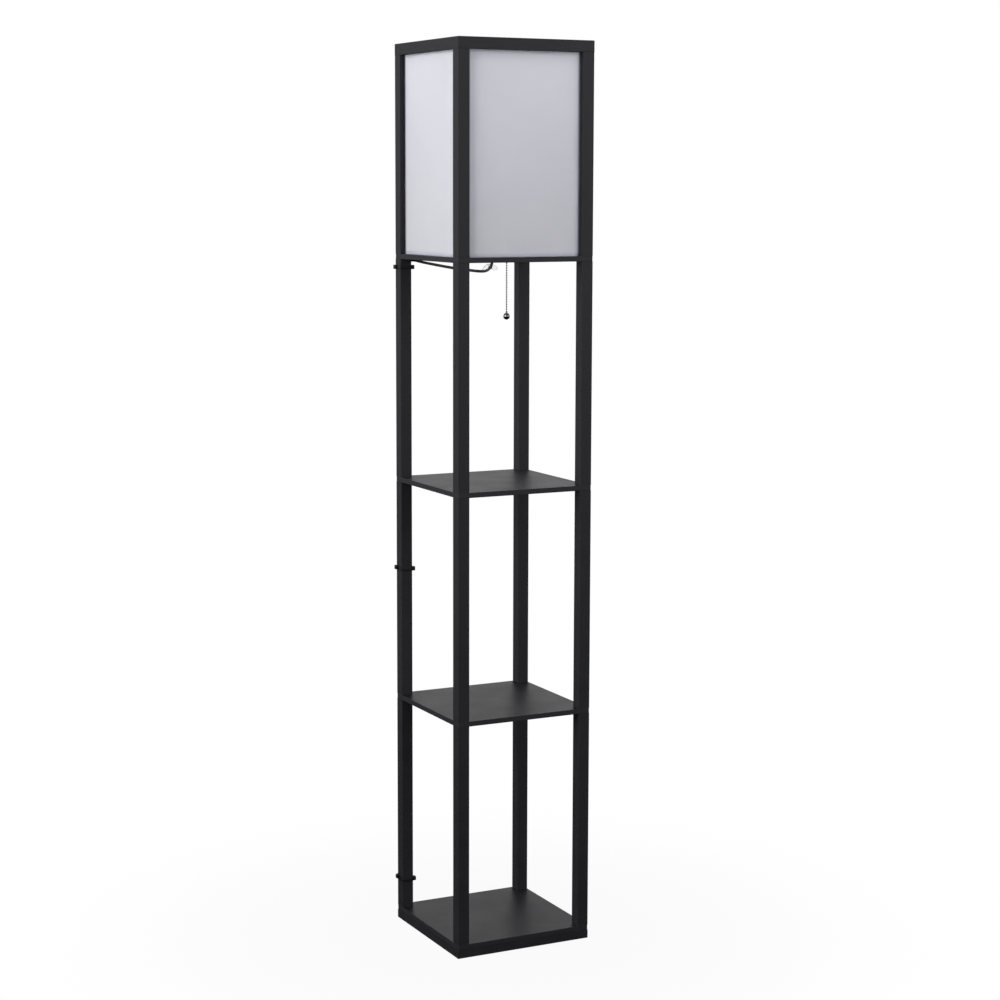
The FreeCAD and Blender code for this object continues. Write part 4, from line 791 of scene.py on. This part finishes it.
def post_ties(width, thick):
    """The bands and heads of the ties round the post, which run out round the cord at its back."""
    x, y = (POST_LOW.x + POST_HIGH.x) / 2, (POST_LOW.y + POST_HIGH.y) / 2
    half = (POST_HIGH.x - POST_LOW.x) / 2 + 0.15 * MM
    crest, flat = 135.8 * MM, 4.6 * MM
    corners = np.array([
        (x - half, y - half), (x + half, y - half), (x + half, y + half),
        (x + flat, crest), (x - flat, crest), (x - half, y + half)])
    middle = round_corners(push_out(corners, thick / 2), thick * 0.8)
    bands, heads = [], []
    for height, lean in TIES:
        level = strap_band(middle, width, thick, lambda u, v, t: np.stack([u, v, t], -1))
        level[..., 2] += height + lean * (level[..., 1] - y)
        bands.append(level)
        drop = lean * (half - 4.0 * MM)
        front, back = (x + half, y - half, height - drop), (x - half, y + half, height + drop)
        heads += tie_head(front, (0.05, 6.0), (0.1, 8.0), 1.9, width, -1)
        heads += tie_head(back, (-4.55, -0.05), (-8.0, -0.1), -2.9, width, 1)
    return bands, heads


def hank_tie(width, thick):
    """The band and head of the tie round the spare cord's waist, in the plane across X."""
    x, y = (v * MM for v in HANK_MIDDLE)
    reach, waist = 2.65 * MM, 8 * MM
    low, high, shoulder = 3.6 * MM, 9.1 * MM, 5.35 * MM
    outline = np.array([
        (y - waist - reach, low - reach), (y + waist + reach, low - reach),
        (y + waist + reach, shoulder + reach), (y - waist + reach, high + reach),
        (y - waist - reach, high + reach)])
    ring = round_corners(push_out(outline, thick / 2), 1.6 * MM, 7)
    band = strap_band(ring, width, thick, lambda u, v, t: np.stack([t + x, u, v], -1))
    seat = (x, y + waist + reach + 0.05 * MM, low - reach)
    head = rounded_block(seat, (-3.75, 0.0, 0.0), (3.75, 6.0, 6.5), 0.9)
    tail = rounded_block(seat, (-2.3, 2.2, 6.0), (2.3, 3.3, 8.6), 0.3)
    return [band], [head, tail]


class LAMP_OT_cable_ties(bpy.types.Operator):
    """Builds the cable ties round the post and round the spare cord, with heads and cut tails."""

    bl_idname = "lamp.cable_ties"
    bl_label = "Build the Cable Ties"

    def execute(self, context):
        width, thick = context.scene.lamp_sizes.tie_width, context.scene.lamp_sizes.tie_thickness
        bands, heads = (
            near + far for near, far in zip(post_ties(width, thick), hank_tie(width, 0.8 * MM)))
        bands = surface("cable_tie_bands", bands, wrap_rows=True, sharp=50)
        heads = surface("cable_tie_heads", heads, sharp=50)
        # Moulded nylon: black with a waxy soft gloss and faint flow marks.
        nylon = fine_finish(
            "moulded_nylon", "#0e0e0f", "#171718", (0.40, 0.54), 0.8, 0.01, cloud_mm=9, IOR=1.53,
            Specular_IOR_Level=0.2)
        for piece in (bands, heads):
            finish_piece(piece, nylon, "lamp_body")
        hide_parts("cord_ties")
        return {"FINISHED"}


# ---------------------------------------------------------------- plug
def plug_shell(start, y, z):
    """The plug's moulding: a grooved round relief, a shoulder and a flat body with a rounded edge.

    A section is a hexagon's corners times a growing size, rounded by a radius r, so the round
    relief turns smoothly into the flat body: p = size * corner + r * direction.
    """
    wide, flat, high = 17.65, 11.0, 6.85
    hexagon = MM * np.array([
        (wide, 0), (flat, high), (-flat, high), (-wide, 0), (-flat, -high), (flat, -high)])
    relief, rounding = 4.2 * MM, 2.6 * MM
    sides = np.roll(hexagon, -1, 0) - hexagon
    facing = np.arctan2(-sides[:, 0], sides[:, 1])
    before = np.roll(facing, 1)
    turn = (facing - before) % math.tau
    angle = (before[:, None] + np.linspace(0, 1, 7) * turn[:, None]).ravel()
    corner = np.repeat(push_out(hexagon, -rounding), 7, 0)
    # Along the plug, in millimetres from the cord's end
    grip, shoulder, edge_start, edge = 20, 40, 55.2, 0.8
    x = np.concatenate([
        np.linspace(0, grip, 121), np.linspace(grip + 0.4, shoulder, 44),
        np.linspace(shoulder + 1, edge_start, 16), edge_start + np.array([0.4, 0.65, 0.8])])
    grow = np.clip((x - grip + 1) / (shoulder - grip + 1), 0, 1)
    grow = grow * grow * (3 - 2 * grow)
    taper = np.interp(x, [0, grip], [3.0 * MM, relief])
    grooved, groove_pitch = (x > 2.6) & (x < 17.4), 2.96
    groove = grooved * np.clip(np.sin(math.tau * (x - 2.6) / groove_pitch) * 1.6, -0.9, 0.0)
    radius = np.where(x <= grip, taper + groove * 0.55 * MM, relief + (rounding - relief) * grow)
    past = np.clip((x - edge_start) / edge, 0, 1)
    inset = (1 - np.sqrt(1 - past ** 2)) * edge * MM
    size = grow[:, None, None] * corner + (radius - inset)[:, None, None] * np.stack(
        [np.cos(angle), np.sin(angle)], -1)
    place = np.repeat((start + x * MM)[:, None], corner.shape[0], 1)
    return np.stack([place, y + size[..., 0], z + size[..., 1]], -1)


def plug_pin(front, tip, centre):
    """A plug's pin with its rounded tip, and the sleeve round its root."""
    pin_radius, tip_edge = 2.0 * MM, 1.4 * MM
    pin = rings(front, (1.7, 9.4), (2.0, 10.05))
    pin += arc((pin_radius - tip_edge, tip - tip_edge), tip_edge, 0, 88, 9).tolist()
    sleeve = rings(front, (1.7, -0.5), (1.98, -0.4), (1.98, 9.7), (1.85, 10.0))
    return turned(pin, 32, centre, "X"), turned(sleeve, 32, centre, "X")


class LAMP_OT_plug(bpy.types.Operator):
    """Builds the flat two-pin plug with its ribbed strain relief and sleeved pins."""

    bl_idname = "lamp.plug"
    bl_label = "Build the Plug"

    def execute(self, context):
        y, z = (PLUG_LOW.y + PLUG_HIGH.y) / 2, (PLUG_LOW.z + PLUG_HIGH.z) / 2
        body = surface("plug_moulding", [plug_shell(PLUG_LOW.x, y, z)], sharp=50)
        half_pitch, pin_z = 9.5 * MM, (PIN_LOW.z + PIN_HIGH.z) / 2
        pins, sleeves = zip(*[
            plug_pin(PLUG_HIGH.x, PIN_HIGH.x, (0, y + side, pin_z)) for side in (-half_pitch, half_pitch)])
        tips = surface("plug_pin_tips", pins, sharp=50)
        sleeves = surface("plug_pin_sleeves", sleeves, sharp=50)
        # Moulded soft vinyl: black, a little duller than the cord, with a fine spark texture.
        vinyl = fine_finish("moulded_vinyl", "#131313", "#1d1d1d", (0.44, 0.58), 0.5, 0.02, cloud_mm=15)
        # Nickel plated brass pin, turned: bright warm grey.
        nickel = fine_finish(
            "nickel_plated_brass", "#b7b3aa", "#cfccc4", (0.14, 0.26), 0.3, 0.003,
            stretch=(2.0, 0.3, 0.3), cloud_mm=5, Metallic=1.0)
        finish_piece(body, vinyl, "lamp_body")
        finish_piece(sleeves, vinyl, "lamp_body")
        finish_piece(tips, nickel, "lamp_body")
        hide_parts("plug_body")
        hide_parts("plug_pins")
        return {"FINISHED"}


# ---------------------------------------------------------------- film tag on the cord
def tag_lobes():
    """The tag's outline at u across: half height h, half the gap between layers g, and middle height.

    A sleeve round the cord is drawn out to a flat lobe on each side, and both rise towards it.
    """
    left, right, grip = -16.0 * MM, 15.0 * MM, 3.5 * MM
    left_half, right_half, sleeve_half = 6.2 * MM, 4.6 * MM, 2.4 * MM
    u = np.concatenate([
        np.linspace(left, -grip, 30)[:-1], np.linspace(-grip, grip, 22), np.linspace(grip, right, 34)[1:]])
    t = u / np.where(u < 0, left, right)
    lobe = np.sqrt(np.clip(np.sin(math.pi * np.clip(t - 0.02, 0, 1) ** 0.75), 0, 1))
    lobe = lobe * np.where(u < 0, left_half, right_half)
    h = np.maximum(np.where(t < 0.55, np.maximum(lobe, sleeve_half), lobe), 0.15 * MM)
    g = np.sqrt(np.clip(grip ** 2 - u ** 2, 0, None)) + 0.09 * MM
    return u, h, g, 2.15 * MM + np.where(u < 0, 0.42, -0.3) * u


class LAMP_OT_film_tag(bpy.types.Operator):
    """Builds the small blank strip of clear film that is pinched round the cord."""

    bl_idname = "lamp.film_tag"
    bl_label = "Build the Film Tag"

    def execute(self, context):
        u, h, g, rise = tag_lobes()
        # The two layers wave together, more so away from the cord
        v = np.linspace(-1, 1, 13)
        loose = np.clip(np.abs(u) / (8 * MM), 0, 1)[:, None]
        wave = (0.5 * MM * np.sin(u / (3.1 * MM))[:, None] + 0.35 * MM * np.cos(2.2 * v)) * loose
        away = np.concatenate([wave - g[:, None], wave[:, ::-1] + g[:, None]], 1)
        height = np.concatenate([v, v[::-1]]) * h[:, None] + rise[:, None]
        centre = np.array([-2.9, 3.8, 1208.8]) * MM
        turn = math.radians(4.0)
        sideways = np.array([math.cos(turn), math.sin(turn), 0.0])
        facing = np.array([-math.sin(turn), math.cos(turn), 0.0])
        upward = np.array([0.0, 0.0, 1.0])
        grid = centre + u[:, None, None] * sideways + away[..., None] * facing + height[..., None] * upward
        tag = surface("film_tag", [grid], sharp=60)
        # Welded rim: a thin round bead along the lobes' outline, p = c + r (cos a n + sin a b)
        along = np.concatenate([u, u[::-1]])[:, None]
        path = centre + along * sideways + np.concatenate([rise + h, (rise - h)[::-1]])[:, None] * upward
        beside = unit(np.cross(np.roll(path, -1, 0) - np.roll(path, 1, 0), facing))
        a = round_angles(8)[None, :, None]
        thick = np.where(along < 0, 0.34, 0.16)[..., None] * MM
        rim = surface("film_tag_rim", [
            path[:, None] + thick * (np.cos(a) * facing + np.sin(a) * beside[:, None])],
            wrap_rows=True, sharp=60)
        # Clear film, cast: nearly white where it folds, glossy, with soft crinkles.
        film = fine_finish(
            "cast_clear_film", "#f6f6f8", "#ffffff", (0.03, 0.10), 2.2, 0.02, cloud_mm=6,
            IOR=1.2, Transmission_Weight=0.92)
        finish_piece(tag, film, "lamp_body")
        # Welded film edge: fused and slightly cloudy, so it shows as a thin grey line.
        weld = fine_finish(
            "welded_film_edge", "#8d9096", "#a2a5ab", (0.30, 0.45), 1.2, 0.01, cloud_mm=4, IOR=1.45)
        finish_piece(rim, weld, "lamp_body")
        return {"FINISHED"}


# ---------------------------------------------------------------- studio
# The camera was fitted to the photograph's edges, with only a little shift so that the whole lamp
# stays in view from every side: its place in metres, then how far it is turned to the right,
# tipped down and rolled, in degrees
CAMERA_PLACE = (-1.7911, -3.5935, 1.3573)
CAMERA_TURNS = (26.689, 7.735, 0.139)
CAMERA_LENS = 81.45
CAMERA_SHIFT = -0.01
# Each soft light's place, the point that it faces, its width and its power in watts
SOFT_LIGHTS = {
    "key_softbox": ((-3.5, -1.3, 2.3), (0.0, 0.0, 1.2), 2.4, 124.0),
    "fill_softbox": ((1.6, -2.0, 2.1), (0.0, 0.0, 1.4), 1.4, 20.0),
    "top_softbox": ((0.3, 0.6, 3.6), (0.0, 0.0, 1.0), 2.0, 24.0),
}
WHITE = (1.0, 1.0, 1.0, 1.0)


class LAMP_OT_stage(bpy.types.Operator):
    """Sets the floor, the pale surroundings, the soft lights and the camera."""

    bl_idname = "lamp.stage"
    bl_label = "Set the Studio"

    def execute(self, context):
        scene = context.scene
        scene.view_settings.view_transform = "Standard"
        self.camera(scene)
        # Floor: a round disc, white, its shadow fading out before its rim
        radii = np.concatenate([[0.02], np.linspace(0.2, 1.6, 8), [2.5, 4.0, 7.0]])
        disc = turned([(r, -0.0005) for r in radii], 64)
        floor = surface("studio_floor", [disc[::-1]], sharp=180)
        floor.data.materials.append(self.floor_paint())
        self.surroundings(scene)
        for name, (place, target, size, power) in SOFT_LIGHTS.items():
            data = bpy.data.lights.new(name, "AREA")
            data.size = size
            data.energy = power
            light = bpy.data.objects.new(name, data)
            light.location = place
            facing = Vector(target) - Vector(place)
            light.rotation_euler = facing.to_track_quat("-Z", "Y").to_euler()
            scene.collection.objects.link(light)
        return {"FINISHED"}

    def camera(self, scene):
        """The camera, turned to the right, tipped down and rolled about its own view."""
        yaw, pitch, roll = (math.radians(v) for v in CAMERA_TURNS)
        level = Vector((math.sin(yaw), math.cos(yaw), 0.0))
        forward = level * math.cos(pitch) - Vector((0.0, 0.0, math.sin(pitch)))
        right = Vector((math.cos(yaw), -math.sin(yaw), 0.0))
        up = right.cross(forward)
        across = right * math.cos(roll) + up * math.sin(roll)
        upward = up * math.cos(roll) - right * math.sin(roll)
        data = bpy.data.cameras.new("studio_camera")
        data.sensor_width = 36.0
        data.lens = CAMERA_LENS
        data.shift_y = CAMERA_SHIFT
        data.clip_end = 60.0
        camera = bpy.data.objects.new("studio_camera", data)
        turn = Matrix((across, upward, -forward)).transposed().to_4x4()
        camera.matrix_world = Matrix.Translation(CAMERA_PLACE) @ turn
        scene.collection.objects.link(camera)
        scene.camera = camera

    def floor_paint(self):
        """White floor paint: the camera sees pure white, less the shadow near the lamp."""
        material = bpy.data.materials.new("white_floor_paint")
        tree, out = fresh_tree(material, "ShaderNodeOutputMaterial")
        paint = add(tree, "ShaderNodeBsdfPrincipled", {
            "Base Color": (*linear("#606060"), 1.0), "Roughness": 0.8, "Specular IOR Level": 0.2})
        glow = add(tree, "ShaderNodeEmission", {"Color": WHITE, "Strength": 1.0})
        coords = add(tree, "ShaderNodeTexCoord").outputs["Object"]
        apart = add(tree, "ShaderNodeVectorMath", {0: coords}, operation="LENGTH")
        far = add(tree, "ShaderNodeMapRange", {
            "Value": apart.outputs["Value"], "From Min": 0.2, "From Max": 0.9, "To Min": 0.955},
            interpolation_type="SMOOTHSTEP")
        _, clear = self.direct_view(tree)
        seen = add(tree, "ShaderNodeMath", {0: clear, 1: far.outputs[0]}, operation="MULTIPLY")
        mixed = add(
            tree, "ShaderNodeMixShader", {0: seen.outputs[0], 1: paint.outputs[0], 2: glow.outputs[0]})
        tree.links.new(mixed.outputs[0], out.inputs["Surface"])
        return material

    def direct_view(self, tree):
        """The rays' kinds, and one where the camera looks, straight or through clear film."""
        path = add(tree, "ShaderNodeLightPath").outputs
        seen = add(tree, "ShaderNodeMath", {
            0: path["Is Camera Ray"], 1: path["Is Transmission Ray"]}, operation="MAXIMUM")
        return path, seen.outputs[0]

    def surroundings(self, scene):
        """A white world for the camera, metal and glass, and a softer one for the light it gives.

        In reflections it is white at the height of the walls and greyer towards the ceiling.
        """
        world = bpy.data.worlds.new("studio_world")
        scene.world = world
        tree, out = fresh_tree(world, "ShaderNodeOutputWorld")
        path, seen = self.direct_view(tree)
        shown = add(tree, "ShaderNodeMath", {0: seen, 1: path["Is Glossy Ray"]}, operation="MAXIMUM")
        ray = add(tree, "ShaderNodeTexCoord").outputs["Generated"]
        way = add(tree, "ShaderNodeSeparateXYZ", {"Vector": ray})
        walls = add(tree, "ShaderNodeMapRange", {
            "Value": way.outputs["Z"], "From Min": 0.28, "From Max": 0.55, "To Min": 1.0, "To Max": 0.15})
        lit = add(tree, "ShaderNodeMath", {0: seen, 1: walls.outputs[0]}, operation="MAXIMUM")
        soft = add(tree, "ShaderNodeBackground", {"Color": WHITE, "Strength": 0.5})
        white = add(tree, "ShaderNodeBackground", {"Color": WHITE, "Strength": lit.outputs[0]})
        mixed = add(
            tree, "ShaderNodeMixShader", {0: shown.outputs[0], 1: soft.outputs[0], 2: white.outputs[0]})
        tree.links.new(mixed.outputs[0], out.inputs["Surface"])


# ---------------------------------------------------------------- panel and registration
STEPS = (
    LAMP_OT_stage, LAMP_OT_cord, LAMP_OT_frame_finish, LAMP_OT_board_finish, LAMP_OT_shade_panels,
    LAMP_OT_fasteners, LAMP_OT_holder, LAMP_OT_pull_chain, LAMP_OT_bulb, LAMP_OT_cable_ties,
    LAMP_OT_plug, LAMP_OT_film_tag,
)


class LAMP_PT_pieces(bpy.types.Panel):
    """Lists the lamp's sizes, colours and pieces in the sidebar."""

    bl_label = "Shelf Floor Lamp"
    bl_idname = "LAMP_PT_pieces"
    bl_space_type = "VIEW_3D"
    bl_region_type = "UI"
    bl_category = "Lamp"

    def draw(self, context):
        layout = self.layout
        for group in (context.scene.lamp_sizes, context.scene.lamp_colours):
            box = layout.box()
            for name in group.__annotations__:
                box.prop(group, name)
        for step in STEPS:
            layout.operator(step.bl_idname)


CLASSES = (LampSizes, LampColours) + STEPS + (LAMP_PT_pieces,)


def register():
    for cls in CLASSES:
        bpy.utils.register_class(cls)
    bpy.types.Scene.lamp_sizes = PointerProperty(type=LampSizes)
    bpy.types.Scene.lamp_colours = PointerProperty(type=LampColours)


def unregister():
    del bpy.types.Scene.lamp_colours
    del bpy.types.Scene.lamp_sizes
    for cls in reversed(CLASSES):
        bpy.utils.unregister_class(cls)


def main():
    register()
    for step in STEPS:
        getattr(bpy.ops.lamp, step.bl_idname.split(".")[1])()


if __name__ == "__main__":
    main()
